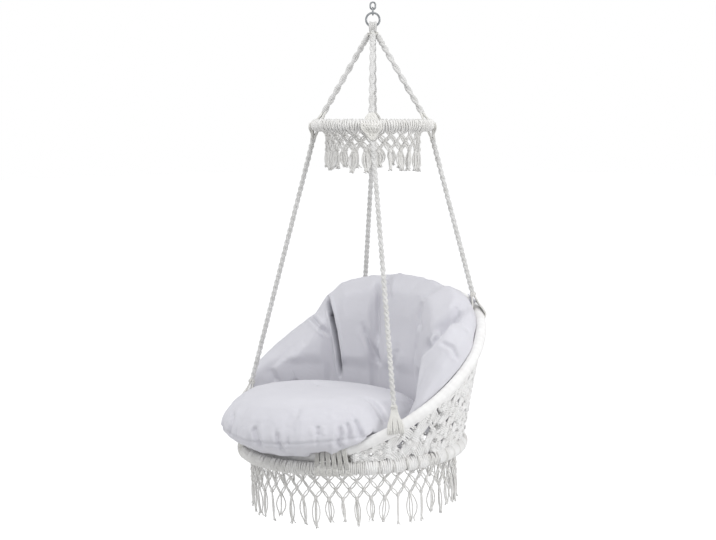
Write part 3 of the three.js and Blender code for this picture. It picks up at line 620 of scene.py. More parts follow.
for node, sizes, middle, degrees in (
    ("top_link", LINK, -0.008, 45),
    ("lower_link", LINK, -0.0237, -45),
    ("hanging_ring", RING, RING_MIDDLE, 45),
):
    piece = wire_ring(f"bent_{node}", middle, math.radians(degrees), **sizes)
    finish_piece(piece, node, zinc)
    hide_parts(node)

# %% [markdown]
# Cord is wound round each hoop, turn against turn, so a hoop is a ribbed ring. A torus with two rings
# of faces for every turn has every second ring drawn in with shrink and fatten. The upper and the seat
# hoop show coarse turns, and the back hoop is wound with fine cord that looks almost smooth.

# %% Wind the hoops
FOUR_SIDES = ("front", "right", "rear", "left")
WINDINGS = {
    "upper": {"cord_width": 0.0075, "groove": 0.0018, "shade": 0.35, "stretches": FOUR_SIDES},
    "back": {"cord_width": 0.0050, "groove": 0.0006, "shade": 0.06, "stretches": FOUR_SIDES},
    "seat": {"cord_width": 0.0066, "groove": 0.0018, "shade": 0.3, "stretches": ("right", "left")},
}
RIB_SIDES = 16


def between_turns(index):
    return (index // RIB_SIDES) % 2 == 1


def write_attribute(piece, name, values):
    attribute = piece.data.attributes.new(name, "FLOAT", "POINT")
    attribute.data.foreach_set("value", values)


def wound_hoop(hoop, cord_width, groove, shade, stretches):
    facts = HOOPS[hoop]
    turns = round(2 * math.pi * facts["radius"] / cord_width)
    piece = add_torus(f"wound_{hoop}_hoop", facts["radius"], facts["wrap"], turns * 2, RIB_SIDES)
    reshape(piece, lambda vert: between_turns(vert.index), bpy.ops.transform.shrink_fatten, value=-groove)
    vertices = range(len(piece.data.vertices))
    # The groove attribute holds the painted shade for the lines between the turns.
    write_attribute(piece, "groove", [shade if between_turns(i) else 0.0 for i in vertices])
    piece.rotation_euler = (math.radians(facts["tilt"]), 0, 0)
    piece.location = facts["middle"]
    settle(piece)
    bpy.ops.object.shade_smooth()
    finish_piece(piece, "chair", wound_cotton)
    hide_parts(*[f"{hoop}_hoop_wrap_{side}" for side in stretches])
    print(piece.name, "turns", turns)


for hoop, sizes in WINDINGS.items():
    wound_hoop(hoop, **sizes)

tube_steel, tube_shader = new_material("tube_steel", (0.42, 0.43, 0.44), 0.5)
tube_shader.inputs["Metallic"].default_value = 0.9
color_drift(tube_steel, tube_shader, (0.44, 0.45, 0.46), (0.36, 0.37, 0.38), 60.0)
for node in ("upper_hoop_tube", "back_hoop_tube", "seat_hoop_tube"):
    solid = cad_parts[node]
    solid.data.materials.clear()
    solid.data.materials.append(tube_steel)

# %% [markdown]
# The two hoops are tied together at the front with turns of cord round both, from where they touch to
# where the net begins. The turns follow an outline that is round at each hoop and straight between
# them.

# %% Tie the hoops together
LASHING_ANGLES = (30, 33, 36, 39, 42, 45)
LASHING_LIFTS = (-0.0042, 0.0, 0.0042)
LASHING_CLEAR = 0.0032
LASHING_CORD = 0.0021


def lashing(side, degrees):
    """Three turns of cord round both hoops, at an angle that is counted on the seat hoop."""
    angle = math.radians(degrees * side)
    seat = hoop_point("seat", angle)
    back_angle = math.asin(seat.x / HOOPS["back"]["radius"])
    back = hoop_point("back", back_angle)
    back_way = hoop_way("back", back_angle)
    way = (hoop_way("seat", angle) + back_way).normalized()
    back = back - back_way * ((back - seat).dot(way) / back_way.dot(way))
    x = (back - seat).normalized()
    y = way.cross(x)
    bends = (
        (0.0, HOOPS["seat"]["wrap"] + LASHING_CLEAR, 1),
        ((back - seat).length, HOOPS["back"]["wrap"] + LASHING_CLEAR, -1),
    )
    strands = []
    for lift in LASHING_LIFTS:
        loop = []
        for centre, radius, sign in bends:
            for i in range(11):
                at = math.pi / 2 * sign + math.pi * i / 10
                ahead, aside = centre + radius * math.cos(at), radius * math.sin(at)
                loop.append(seat + x * ahead + y * aside + way * lift)
        strands.append((loop + loop[:1], LASHING_CORD, 7))
    return strands


for name, side in (("right", 1), ("left", -1)):
    turns = [strand for degrees in LASHING_ANGLES for strand in lashing(side, degrees)]
    piece = cord_piece(f"lashing_turns_{name}", turns, knot_cotton)
    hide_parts(f"front_lashing_{name}")

# %% [markdown]
# The net between the hoops lies on the sloping surface that joins them. A place on that surface is
# given by an angle round the back hoop and a share of the way down. A band is a few cords side by side
# from one place to another, drawn together at both ends, and a knot is two pairs of short turns across
# each other.

# %% Lay a band and a knot of the net
KNOT_DEPTH = 0.0068


def angle_below(top):
    """The angle on the seat hoop below a point of the back hoop."""
    return math.atan2(top.x, HOOPS["seat"]["middle"].y - top.y)


def net_place(angle, share, lift=0.0):
    top = hoop_point("back", angle)
    bottom = hoop_point("seat", angle_below(top))
    fall = (bottom - top).normalized()
    facing = fall.cross(hoop_way("back", angle)).normalized()
    top = top + fall * HOOPS["back"]["wrap"]
    bottom = bottom - fall * HOOPS["seat"]["wrap"]
    return top.lerp(bottom, share) + facing * lift


def net_facing(angle, share):
    """The direction straight out of the net at a place."""
    return (net_place(angle, share, 0.001) - net_place(angle, share)).normalized()


def band_between(start, end, cords, spacing, radius, weave, steps):
    """A flat band of cords between two places on the net, given as angle and share."""
    (a0, v0), (a1, v1) = start, end
    places = [(a0 + (a1 - a0) * i / steps, v0 + (v1 - v0) * i / steps) for i in range(steps + 1)]
    middle = [net_place(*place) for place in places]
    facings = [net_facing(*place) for place in places]
    strands = []
    for k in range(cords):
        offset = (k - (cords - 1) / 2) * spacing
        line = []
        for i, facing in enumerate(facings):
            run = (middle[min(i + 1, steps)] - middle[max(i - 1, 0)]).normalized()
            lean = weave * math.cos(math.pi * i / steps)
            gather = 0.72 + 0.28 * math.sin(math.pi * i / steps)
            line.append(middle[i] + facing.cross(run) * (offset * gather) + facing * lean)
        strands.append((line, radius, 6))
    return strands


def net_knot(angle, share, size, radius):
    """Two pairs of short turns that tie the bands where they cross."""
    middle = net_place(angle, share)
    down = (net_place(angle, min(share + 0.02, 1)) - net_place(angle, max(share - 0.02, 0))).normalized()
    facing = net_facing(angle, share)
    across = down.cross(facing)
    strands = []
    for tilt in (0.55, -0.55):
        axis = (down + across * tilt).normalized()
        flat = axis.cross(facing).normalized()
        for lift in (-radius * 1.1, radius * 1.1):
            loop = []
            for i in range(11):
                at = 2 * math.pi * i / 10
                wide, deep = size * math.cos(at), KNOT_DEPTH * math.sin(at)
                loop.append(middle + flat * wide + facing * deep + axis * lift)
            strands.append((loop, radius, 6))
    return strands


for share in (0.0, 1.0):
    print("net at share", share, [round(x, 3) for x in net_place(0.7, share)])

# %% [markdown]
# Bands lean left and right in turn and weave over and under each other, so they cross in diamonds, and
# a knot ties each crossing. A panel has a main net of bands of four or five cords, a finer net of pairs
# of cords between them, and the ends of its bands laid over the outside of the seat hoop.

# %% Knot the net between the hoops
MAIN_NET = {"spacing": 0.0062, "radius": 0.0031, "knot_size": 0.0125, "steps": 9}
FINE_NET = {"spacing": 0.0058, "radius": 0.0029, "knot_size": 0.0075, "steps": 4}
NET_FEET = {"cords": 5, "spacing": 0.0056, "radius": 0.0028}
NET_WEAVE = 0.0024
NET_BANDS = {"front": (39, 84, 3, 1, 4), "middle": (84, 132, 3, 3, 5), "rear": (132, 180, 3, 3, 5)}


def net_foot(angle, cords, spacing, radius):
    """The ends of the bands, laid side by side over the outside of the seat hoop."""
    seat_angle = angle_below(hoop_point("back", angle))
    reach = HOOPS["seat"]["wrap"] + radius * 0.8
    strands = []
    for k in range(cords):
        shift = (k - (cords - 1) / 2) * spacing / HOOPS["seat"]["radius"]
        stops = []
        for degrees in range(100, -90, -21):
            at = math.radians(degrees)
            spread = 1 + 0.25 * math.sin(at)
            out, up = reach * math.cos(at), reach * math.sin(at)
            stops.append(hoop_point("seat", seat_angle + shift * spread, out=out, up=up))
        strands.append((stops, radius, 6))
    return strands


def net_lattice(low, high, columns, rows, cords, spacing, radius, knot_size, steps):
    """Bands that cross in diamonds over one panel, with a knot at each crossing."""
    strands = []
    step = (high - low) / columns

    def at(column, level):
        return (low + step * column, level / (2 * rows))

    for level in range(2 * rows):
        shift = 0.5 if level % 2 == 0 else 0.0
        for column in range(columns + 1):
            start = column + shift
            if start > columns:
                continue
            for lean in (-0.5, 0.5):
                end = start + lean
                if 0 <= end <= columns:
                    weave = NET_WEAVE * (1 if (lean > 0) == (level % 2 == 0) else -1)
                    ends = at(start, level), at(end, level + 1)
                    strands += band_between(*ends, cords, spacing, radius, weave, steps)
    for level in range(1, 2 * rows):
        shift = 0.5 if level % 2 == 0 else 0.0
        for column in range(columns + (0 if shift else 1)):
            angle, share = at(column + shift, level)
            strands += net_knot(angle, share, knot_size, radius * 0.8)
    return strands


def net_panel(low, high, columns, rows, cords):
    strands = net_lattice(low, high, columns, rows, cords, **MAIN_NET)
    strands += net_lattice(low, high, columns * 2, rows * 2, 2, **FINE_NET)
    for half in range(1, 2 * columns):
        strands += net_foot(low + (high - low) * half / (2 * columns), **NET_FEET)
    return strands


for band, (low, high, columns, rows, cords) in NET_BANDS.items():
    for name, sign in (("right", 1), ("left", -1)):
        ends = sorted((math.radians(low) * sign, math.radians(high) * sign))
        strands = net_panel(*ends, columns, rows, cords)
        piece = cord_piece(f"knotted_net_{band}_{name}", strands, net_cotton)
        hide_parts(f"back_net_{band}_{name}")

# %% [markdown]
# The net under the seat is flat and out of sight, but it carries the sitter. Two families of bands
# cross at right angles inside the seat hoop and go over and under each other.

# %% Weave the seat net
SEAT_NET_DROP = 0.012
SEAT_NET_RADIUS = 0.303
SEAT_NET_PITCH = 0.0919
SEAT_NET_WEAVE = 0.0026
SEAT_NET_SPACING = 0.0053


def seat_place(x, y, lift):
    return HOOPS["seat"]["middle"] + tilt_of("seat") @ Vector((x, y, lift - SEAT_NET_DROP))


def seat_band(turn, offset):
    """Three cords side by side, aslant across the hoop. They rise and dip from crossing to crossing."""
    reach = math.sqrt(SEAT_NET_RADIUS**2 - (abs(offset) + 0.006) ** 2)
    count = max(int(reach / 0.012), 6)
    phase = math.pi / 2 if turn > 0 else -math.pi / 2
    strands = []
    for k in (-1, 0, 1):
        side = offset + k * SEAT_NET_SPACING
        line = []
        for i in range(count + 1):
            run = -reach + 2 * reach * i / count
            lift = SEAT_NET_WEAVE * math.cos(math.pi * run / SEAT_NET_PITCH + phase)
            x = (run + side * turn) * math.sqrt(0.5)
            y = (run * turn - side) * math.sqrt(0.5)
            line.append(seat_place(x, y, lift))
        strands.append((line, 0.0025, 6))
    return strands


strands = []
for turn in (1, -1):
    for k in range(-3, 3):
        strands += seat_band(turn, (k + 0.5) * SEAT_NET_PITCH)
piece = cord_piece("woven_seat_net", strands, net_cotton)
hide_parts("seat_net")

# %% [markdown]
# A fringe is two rows of knotted diamonds over a row of tassels. Its cords are looped over the hoop
# side by side. A pair of cords that bows apart runs between every two knots. In a tassel of the skirt
# two cords bow out widely and two hang nearly straight, and a tassel of the canopy is a thick tuft.
# Every cord ends in a few frayed threads. A seeded generator makes every tassel a little different, and
# the same on each run.

# %% Knot the fringes
SKIRT = {
    "hoop": "seat",
    "units": 48,
    "radius": 0.303,
    "top_radius": 0.315,
    "top_drop": 0.0165,
    "knots": (0.023, 0.049, 0.076),
    "length": 0.162,
    "cord_radius": 0.0021,
    "swells": (-0.0150, -0.0040, 0.0035, 0.0150),
    "part": 0.0032,
    "loops": 8,
    "seed": 11,
}
CANOPY = {
    "hoop": "upper",
    "units": 24,
    "radius": 0.137,
    "top_radius": 0.152,
    "top_drop": 0.0115,
    "knots": (0.018, 0.039, 0.061),
    "length": 0.122,
    "cord_radius": 0.0023,
    "swells": (-0.0150, -0.0115, -0.0080, -0.0045, -0.0010, 0.0025, 0.0060, 0.0095, 0.0130, 0.0150),
    "part": 0.0032,
    "loops": 6,
    "seed": 5,
}


def fringe(hoop, units, radius, top_radius, top_drop, knots, length, cord_radius, swells, part, loops, seed):
    rng = random.Random(seed)
    pitch = 2 * math.pi / units
    wrap = HOOPS[hoop]["wrap"]
    strands = []

    def place(unit, down, out=0.0):
        share = min(down / knots[0], 1.0)
        r = top_radius + (radius - top_radius) * share + out
        angle = unit * pitch
        flat = Vector((r * math.sin(angle), -r * math.cos(angle), -top_drop - down))
        return HOOPS[hoop]["middle"] + tilt_of(hoop) @ flat

    def link(start, end):
        """A pair of cords between two knots, bowed apart."""
        (u0, v0), (u1, v1) = start, end
        lean = 1 if u1 > u0 else -1
        for side in (-1, 1):
            bow = part * rng.uniform(0.6, 1.3)
            stops = []
            for i in range(5):
                t = i / 4
                bulge = math.sin(math.pi * t) ** 0.7
                u = u0 + (u1 - u0) * t + side * lean * bow * bulge / (radius * pitch)
                v = v0 + (v1 - v0) * t - side * bow * 0.6 * bulge
                stops.append(place(u, v, side * 0.0012))
            strands.append((smooth_path(stops, 8), cord_radius, 6))

    def knot(unit, down, size):
        middle = place(unit, down)
        out = Vector((math.sin(unit * pitch), -math.cos(unit * pitch), 0))
        way = Vector((math.cos(unit * pitch), math.sin(unit * pitch), 0))
        for lift in (-0.6, 0.6):
            loop = []
            for i in range(9):
                at = 2 * math.pi * i / 8
                drop = Vector((0, 0, lift * size * 0.55 + 0.0008 * math.sin(2 * at) * lift))
                wide, deep = size * 0.9 * math.cos(at), size * 0.75 * math.sin(at)
                loop.append(middle + way * wide + out * deep + drop)
            strands.append((loop, cord_radius * 1.1, 6))

    def loop_over(unit):
        """One cord end that is looped over the outside of the hoop, a little aslant."""
        slant = rng.uniform(-0.16, 0.16)
        stops = []
        for degrees in (70, 35, 0, -30, -60, -84):
            at = math.radians(degrees)
            reach = wrap + cord_radius * 0.7
            angle = (unit - slant * degrees / 90) * pitch
            stops.append(hoop_point(hoop, angle, out=reach * math.cos(at), up=reach * math.sin(at)))
        strands.append((smooth_path(stops, 10), cord_radius * 1.15, 6))

    def frayed_end(path):
        run = path[-1] - path[-4]
        run /= np.linalg.norm(run)
        for _ in range(3):
            swing = np.array([rng.uniform(-1, 1), rng.uniform(-1, 1), rng.uniform(-0.5, 0.3)]) * 0.0034
            tip = path[-1] + run * rng.uniform(0.003, 0.006)
            line = np.array([path[-1] - run * 0.002, (path[-1] + tip) / 2 + swing * 0.4, tip + swing])
            strands.append((line, cord_radius * 0.48, 4))

    def tassel(unit):
        reach = length * rng.uniform(0.84, 1.0) - knots[2]
        lean = rng.uniform(-0.17, 0.17)
        narrow = rng.choice((1.15, 0.85, 0.30))
        for share in swells:
            swell = share * narrow * rng.uniform(0.6, 1.15) / (radius * pitch)
            out = rng.uniform(-0.0045, 0.0045)
            end = reach * rng.uniform(0.95, 1.0)
            tip = rng.uniform(-0.004, 0.004) / (radius * pitch)
            stops = [
                place(unit + swell * 0.12, knots[2] - 0.001),
                place(unit + swell * 0.62, knots[2] + end * 0.17, out * 0.5),
                place(unit + swell + lean * 0.3, knots[2] + end * 0.44, out),
                place(unit + swell * 0.86 + lean * 0.6, knots[2] + end * 0.70, out),
                place(unit + swell * 0.42 + lean, knots[2] + end * 0.90, out * 0.6),
                place(unit + swell * 0.30 + tip + lean, knots[2] + end, out),
            ]
            path = smooth_path(stops, 15)
            strands.append((path, cord_radius, 6))
            frayed_end(path)

    for unit in range(units):
        middle = unit + 0.5
        first, second, third = (drop + rng.uniform(-0.0025, 0.0025) for drop in knots)
        for k in range(loops):
            loop_over(unit + (k + 0.5) / loops)
        link((unit, 0.0), (middle, first))
        link((unit + 1, 0.0), (middle, first))
        link((middle, first), (unit, second))
        link((middle, first), (unit + 1, second))
        link((unit, second), (middle, third))
        link((unit + 1, second), (middle, third))
        knot(unit, 0.001, cord_radius * 2.0)
        knot(middle, first, cord_radius * 2.0)
        knot(unit, second, cord_radius * 2.0)
        knot(middle, third, cord_radius * 2.2)
        tassel(middle)
    return strands


for name, sizes in (("skirt", SKIRT), ("canopy", CANOPY)):
    piece = cord_piece(f"{name}_of_tassels", fringe(**sizes), fringe_cotton)
    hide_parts(*[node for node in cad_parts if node.startswith(f"{name}_fringe_")])

# %% [markdown]
# The cushion cover is a plain woven cloth in a cool off-white. Its weave is two sets of fine threads at
# right angles, shallow and close, and small soft wrinkles come from a noise. The cloth is matt with a
# faint sheen. Down in a deep seam its colour is painted greyer as shade, where an attribute of the mesh
# says so.

# %% Weave the cushion cloth


def cushion_cloth(name, light, dark):
    material, shader = new_material(name, light, 0.85)
    shader.inputs["Sheen Weight"].default_value = 0.15
    shader.inputs["Sheen Roughness"].default_value = 0.5
    places, drift = color_drift(material, shader, light, dark, 6.0)
    # Painted shade: deep seams are darkened in colour, for the shadow down in them.
    paint_shade_by(material, shader, drift, "painted_seam_shade", (0.33, 0.33, 0.36))
    wrinkles = add_node(material, "ShaderNodeTexNoise", Scale=13.0, Detail=3.0, Distortion=0.9)
    join(material, places.outputs["Object"], wrinkles.inputs["Vector"])
    normal = add_bump(material, wrinkles.outputs["Fac"], 0.35, 0.008)
    for direction in ("X", "Z"):
        threads = add_node(
            material, "ShaderNodeTexWave", Scale=300.0, Distortion=0.4, Detail=1.0, bands_direction=direction
        )
        join(material, places.outputs["Object"], threads.inputs["Vector"])
        normal = add_bump(material, threads.outputs["Fac"], 0.22, 0.0005, under=normal)
    join(material, normal, shader.inputs["Normal"])
    return material


cover_cloth = cushion_cloth("cover_cloth", (0.665, 0.66, 0.70), (0.63, 0.625, 0.665))
print("cloth", cover_cloth.name)

# %% [markdown]
# The cushions are stuffed sacks. Each starts from a copy of its solid, whose points are read and moved
# as arrays. A cushion lies against the hoops without sinking in, so points that come too near to a hoop
# are moved straight out.

# %% Copy a solid and move its points


def solid_copy(node, name):
    """A loose copy of a solid that can be seen, with its doubled vertices merged."""
    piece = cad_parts[node].copy()
    piece.data = piece.data.copy()
    piece.parent = None
    piece.name = name
    for key in list(piece.keys()):
        del piece[key]
    bpy.context.scene.collection.objects.link(piece)
    piece.hide_render = False
    piece.hide_viewport = False
    choose(piece)
    reshape(piece, lambda vert: True, bpy.ops.mesh.remove_doubles, threshold=0.00005)
    return piece


def read_vertices(piece, what):
    """The place (co) or the normal of every vertex."""
    flat = np.empty(len(piece.data.vertices) * 3)
    piece.data.vertices.foreach_get(what, flat)
    return flat.reshape(-1, 3)


def move_to(piece, points):
    piece.data.vertices.foreach_set("co", points.ravel())
    piece.data.update()


def into_hoop(points, hoop):
    """Places in a hoop's own level frame, counted from its middle."""
    return (points - np.array(HOOPS[hoop]["middle"])) @ np.array(tilt_of(hoop))


def out_of_hoop(local, hoop):
    return local @ np.array(tilt_of(hoop)).T + np.array(HOOPS[hoop]["middle"])


def off_the_hoop(points, hoop, clearance=0.0012):
    local = into_hoop(points, hoop)
    flat = np.hypot(local[:, 0], local[:, 1])
    ring = local.copy()
    ring[:, 2] = 0
    ring[:, :2] *= (HOOPS[hoop]["radius"] / np.maximum(flat, 1e-9))[:, None]
    away = local - ring
    far = np.linalg.norm(away, axis=1)
    reach = HOOPS[hoop]["wrap"] + clearance
    near = far < reach
    local[near] = ring[near] + away[near] * (reach / np.maximum(far[near], 1e-9))[:, None]
    return out_of_hoop(local, hoop)


print("seat cushion solid", len(read_vertices(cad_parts["seat_cushion"], "co")), "vertices")

# %% [markdown]
# The copy is turned into an even mesh of faces and blown up by a cloth simulation with air pressure and
# no gravity. A cap keeps every point near its start, and the result is stretched back to the box of its
# solid.

# %% Blow up the cushions
VOXEL = 0.007
INSET = 0.003
SWELL_CAP = 0.009
AIR_PRESSURE = 4.0
LAST_FRAME = 20


def apply_modifier(piece, kind, **settings):
    modifier = piece.modifiers.new(kind.title(), kind)
    for key, value in settings.items():
        setattr(modifier, key, value)
    bpy.context.view_layer.objects.active = piece
    bpy.ops.object.modifier_apply(modifier=modifier.name)


def run_cloth(piece):
    cloth = piece.modifiers.new("Cloth", "CLOTH")
    cloth.settings.use_pressure = True
    cloth.settings.uniform_pressure_force = AIR_PRESSURE
    cloth.settings.effector_weights.gravity = 0
    cloth.settings.quality = 5
    cloth.settings.tension_stiffness = 15
    cloth.settings.bending_stiffness = 0.6
    for step in range(1, LAST_FRAME + 1):
        bpy.context.scene.frame_set(step)
    choose(piece)
    bpy.ops.object.modifier_apply(modifier=cloth.name)
    bpy.context.scene.frame_set(1)


def blow_up(node, name):
    piece = solid_copy(node, name)
    apply_modifier(piece, "REMESH", mode="VOXEL", voxel_size=VOXEL)
    apply_modifier(piece, "SMOOTH", factor=0.5, iterations=4)
    move_to(piece, read_vertices(piece, "co") - read_vertices(piece, "normal") * INSET)
    start = read_vertices(piece, "co")
    run_cloth(piece)
    moved = read_vertices(piece, "co") - start
    far = np.linalg.norm(moved, axis=1)
    points = start + moved * np.where(far > SWELL_CAP, SWELL_CAP / np.maximum(far, 1e-9), 1.0)[:, None]
    low, high = (np.array(corner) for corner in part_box(node))
    points = low + (points - points.min(0)) / (points.max(0) - points.min(0)) * (high - low)
    move_to(piece, points)
    apply_modifier(piece, "SUBSURF", levels=1, render_levels=1)
    print(name, "faces", len(piece.data.polygons), "largest move", round(float(far.max()), 4))
    return piece


seat_cushion = blow_up("seat_cushion", "stuffed_seat_cushion")
back_cushion = blow_up("back_cushion", "stuffed_back_cushion")

# %% [markdown]
# Sewing and use leave marks in a stuffed cushion. A mark is a line of places, as the camera sees them
# on the cloth, pressed in with soft lips on both sides. A mark that is deep and narrow is a seam, and
# its line also gets painted shade in the cloth's colour.

# %% Press a mark into the cloth
LIP_SHARE = 0.3
LIP_WIDTHS = 2.1
SEAM_DEPTH = 0.02
SEAM_WIDTH = 0.01


def on_the_cloth(tree, line):
    """The line as the camera sees it on the cushion, in short steps."""
    eye = camera.location
    found = []
    for a, b in zip(line, line[1:]):
        for i in range(6):
            aim = Vector(a).lerp(Vector(b), i / 6)
            hit = tree.ray_cast(eye, (aim - eye).normalized())[0]
            if hit is not None:
                found.append(hit)
    return np.asarray(found, float)


def mark(points, facing, line, width, depth, painted_seam_shade):
    """Presses a line of places in, fading at both ends. Where it is a seam, its painted shade is added up."""
    spans = np.linalg.norm(np.diff(line, axis=0), axis=1)
    total = spans.sum()
    best = np.full(len(points), 1e9)
    along = np.zeros(len(points))
    run = 0.0
    for a, b, span in zip(line, line[1:], spans):
        t = np.clip(((points - a) @ (b - a)) / max(span, 1e-9) ** 2, 0, 1)
        far = np.linalg.norm(points - (a + t[:, None] * (b - a)), axis=1)
        closer = far < best
        best = np.where(closer, far, best)
        along = np.where(closer, (run + t * span) / total, along)
        run += span
    fade = np.clip(np.minimum(along, 1 - along) * 5 + 0.25, 0, 1)
    valley = np.exp(-((best / width) ** 2))
    lip = LIP_SHARE * np.exp(-(((best - LIP_WIDTHS * width) / width) ** 2))
    # A seam's line also gets painted shade, for the shadow down in it.
    if depth > SEAM_DEPTH and width < SEAM_WIDTH:
        painted_seam_shade += fade * valley
    press = facing * 0.6 + np.array(toward) * 0.4
    return points - press * (depth * fade * (valley - lip))[:, None]


def press_marks(piece, points, facing, marks):
    """All the marks of a cushion. Gives the moved points and the painted shade of the seams."""
    tree = BVHTree.FromObject(piece, bpy.context.evaluated_depsgraph_get())
    painted_seam_shade = np.zeros(len(points))
    for width, depth, line in marks:
        points = mark(points, facing, on_the_cloth(tree, line), width, depth, painted_seam_shade)
    return points, np.clip(painted_seam_shade, 0, 1)


print("a seam is deeper than", SEAM_DEPTH, "and narrower than", SEAM_WIDTH)

# %% [markdown]
# The seat cushion is a disc that sags like a saddle between the sides of its hoop. A seam runs round
# its rim and gathers the cloth into short puckers. The folds are marks listed one by one, and each row
# of the table holds the width, the depth and the places of one.

# %% Sew the seat cushion
SEAT_MIDDLE = Vector((0, -0.200, -1.237))
SEAT_RADIUS = 0.299
SEAT_SADDLE = 0.026
PUCKERS = 30
SEAT_MARKS = (
    (0.010, 0.010, (
        (-0.105, -0.455, -1.175), (-0.099, -0.462, -1.195), (-0.095, -0.477, -1.232),
        (-0.080, -0.475, -1.254),
    )),
    (0.009, 0.011, (
        (0.022, -0.475, -1.190), (0.030, -0.484, -1.205), (0.054, -0.490, -1.237), (0.055, -0.480, -1.253),
    )),
    (0.007, 0.009, ((0.101, -0.465, -1.200), (0.115, -0.470, -1.234), (0.124, -0.454, -1.256))),
    (0.008, 0.008, ((0.195, -0.395, -1.180), (0.206, -0.405, -1.212))),
    (0.008, 0.010, (
        (0.236, -0.350, -1.178), (0.246, -0.356, -1.204), (0.241, -0.362, -1.231), (0.244, -0.346, -1.243),
    )),
    (0.007, 0.010, ((0.243, -0.331, -1.170), (0.257, -0.335, -1.197), (0.255, -0.345, -1.225))),
    (0.008, 0.009, ((0.250, -0.312, -1.165), (0.272, -0.309, -1.199), (0.277, -0.306, -1.218))),
    (0.009, 0.010, (
        (0.186, -0.205, -1.126), (0.224, -0.215, -1.133), (0.252, -0.216, -1.149), (0.281, -0.220, -1.179),
        (0.288, -0.240, -1.195),
    )),
    (0.016, 0.009, ((-0.190, -0.052, -1.150), (-0.100, -0.137, -1.124), (-0.030, -0.204, -1.120))),
)


def from_seat_middle(points):
    """How far points lie to the right and behind the middle of the seat cushion, and the sag's rise there."""
    x, y = points[:, 0] - SEAT_MIDDLE.x, points[:, 1] - SEAT_MIDDLE.y
    return x, y, SEAT_SADDLE * (x / SEAT_RADIUS) ** 2


def sew_seat(piece):
    facing = read_vertices(piece, "normal")
    points, _ = press_marks(piece, read_vertices(piece, "co"), facing, SEAT_MARKS)
    x, y, saddle = from_seat_middle(points)
    angle = np.arctan2(x, -y)
    edge = np.clip((np.hypot(x, y) - 0.200) / 0.075, 0, 1)
    level = points[:, 2] - SEAT_MIDDLE.z - saddle
    rng = random.Random(3)
    depth = 0.0040 * np.exp(-((level / 0.0050) ** 2)) * edge
    for k in range(PUCKERS):
        middle = 2 * math.pi * (k + rng.uniform(0.2, 0.8)) / PUCKERS
        away = (angle - middle + math.pi) % (2 * math.pi) - math.pi
        tall = rng.uniform(0.012, 0.024)
        size = rng.uniform(0.002, 0.005)
        wide = rng.uniform(0.014, 0.024)
        depth += size * np.exp(-((away / wide) ** 2) - ((level - 0.006) / tall) ** 2) * edge
    move_to(piece, off_the_hoop(points - facing * depth[:, None], "seat"))


sew_seat(seat_cushion)
print(seat_cushion.name, "marks", len(SEAT_MARKS), "puckers", PUCKERS)

# %% [markdown]
# The back cushion's crest leans out over the back hoop, and two tables say how far it leans and rises
# at an angle counted from the rear. The cushion also keeps out of the way of the seat cushion, so that
# this can be lifted off.

# %% Settle the back cushion on its hoop
CREST_RISE = (
    (-125, 0), (-92, 0.002), (-80, 0.001), (-72, -0.002), (-67, 0.022), (-58, 0.018), (-45, 0.008),
    (-35, 0.003), (10, 0.004), (30, 0.014), (45, 0.020), (60, 0.022), (67, 0.022), (76, 0.010),
    (90, 0.002), (125, 0),
)
CREST_LEAN = (
    (-125, 0.004), (-105, 0.014), (-80, 0.018), (-60, 0.016), (-35, 0.012), (0, 0.012), (35, 0.018),
    (50, 0.026), (75, 0.026), (95, 0.016), (125, 0.004),
)
LEFT_TIP_SHIFT = (-0.003, -0.012, -0.003)
SEAT_TOP = 0.120
SEAT_CLEAR_RADIUS = 0.304


def settle_crest(points, facing):
    """Draws the crest out over the hoop, evens it out, and fills the hollows below both wings."""
    local = into_hoop(points, "back")
    angle = np.degrees(np.arctan2(points[:, 0], points[:, 1] - HOOPS["back"]["middle"].y))
    flat = np.hypot(local[:, 0], local[:, 1])
    lean = table_value(angle, CREST_LEAN)
    lean *= np.clip((flat - 0.27) / 0.07, 0, 1) * np.clip((local[:, 2] + 0.05) / 0.06, 0, 1)
    local[:, :2] *= (1 + lean / np.maximum(flat, 1e-9))[:, None]
    points = out_of_hoop(local, "back")
    rise = table_value(angle, CREST_RISE) * np.clip(local[:, 2] / 0.045, 0, 1)
    points = points + np.outer(rise, (0, 0, 1))
    turn = np.radians(angle)
    inward = np.stack([-np.sin(turn), -np.cos(turn), np.zeros(len(turn))], axis=1)
    inner = np.clip((facing * inward).sum(1), 0, 1)
    low = np.clip((-1.05 - points[:, 2]) / 0.05, 0, 1)
    right_hollow = 0.018 * np.exp(-(((angle - 30) / 6) ** 2))
    left_hollow = 0.022 * low * np.exp(-(((angle + 97) / 6) ** 2))
    fill = (right_hollow + left_hollow) * inner
    left_tip = np.clip((-96 - angle) / 16, 0, 1)
    return points + inward * fill[:, None] + np.outer(left_tip, LEFT_TIP_SHIFT)


def clear_the_seat(points):
    """Keeps the back cushion out of the way of the seat cushion, also while that is lifted off."""
    x, y, saddle = from_seat_middle(points)
    far = np.hypot(x, y)
    below = np.clip((SEAT_MIDDLE.z + SEAT_TOP + saddle + 0.045 - points[:, 2]) / 0.045, 0, 1)
    share = below * below * (3 - 2 * below)
    over = SEAT_CLEAR_RADIUS - far
    push = 0.5 * (over + np.sqrt(over**2 + 0.004**2)) * share * (far > 0.2)
    points = points.copy()
    points[:, 0] += x / far * push
    points[:, 1] += y / far * push
    return points


move_to(back_cushion, settle_crest(read_vertices(back_cushion, "co"), read_vertices(back_cushion, "normal")))
print(back_cushion.name, "crest settled")

# %% [markdown]
# The back cushion is sewn through in lines that part its channels, and the cloth between them is pulled
# into folds. The deepest seam parts the left wing from the back. On the right side the wing folds over
# the back, so its edge is two marks: a wide valley and a sharper line in it. Both cushions then go to
# their bodies as padded pieces.

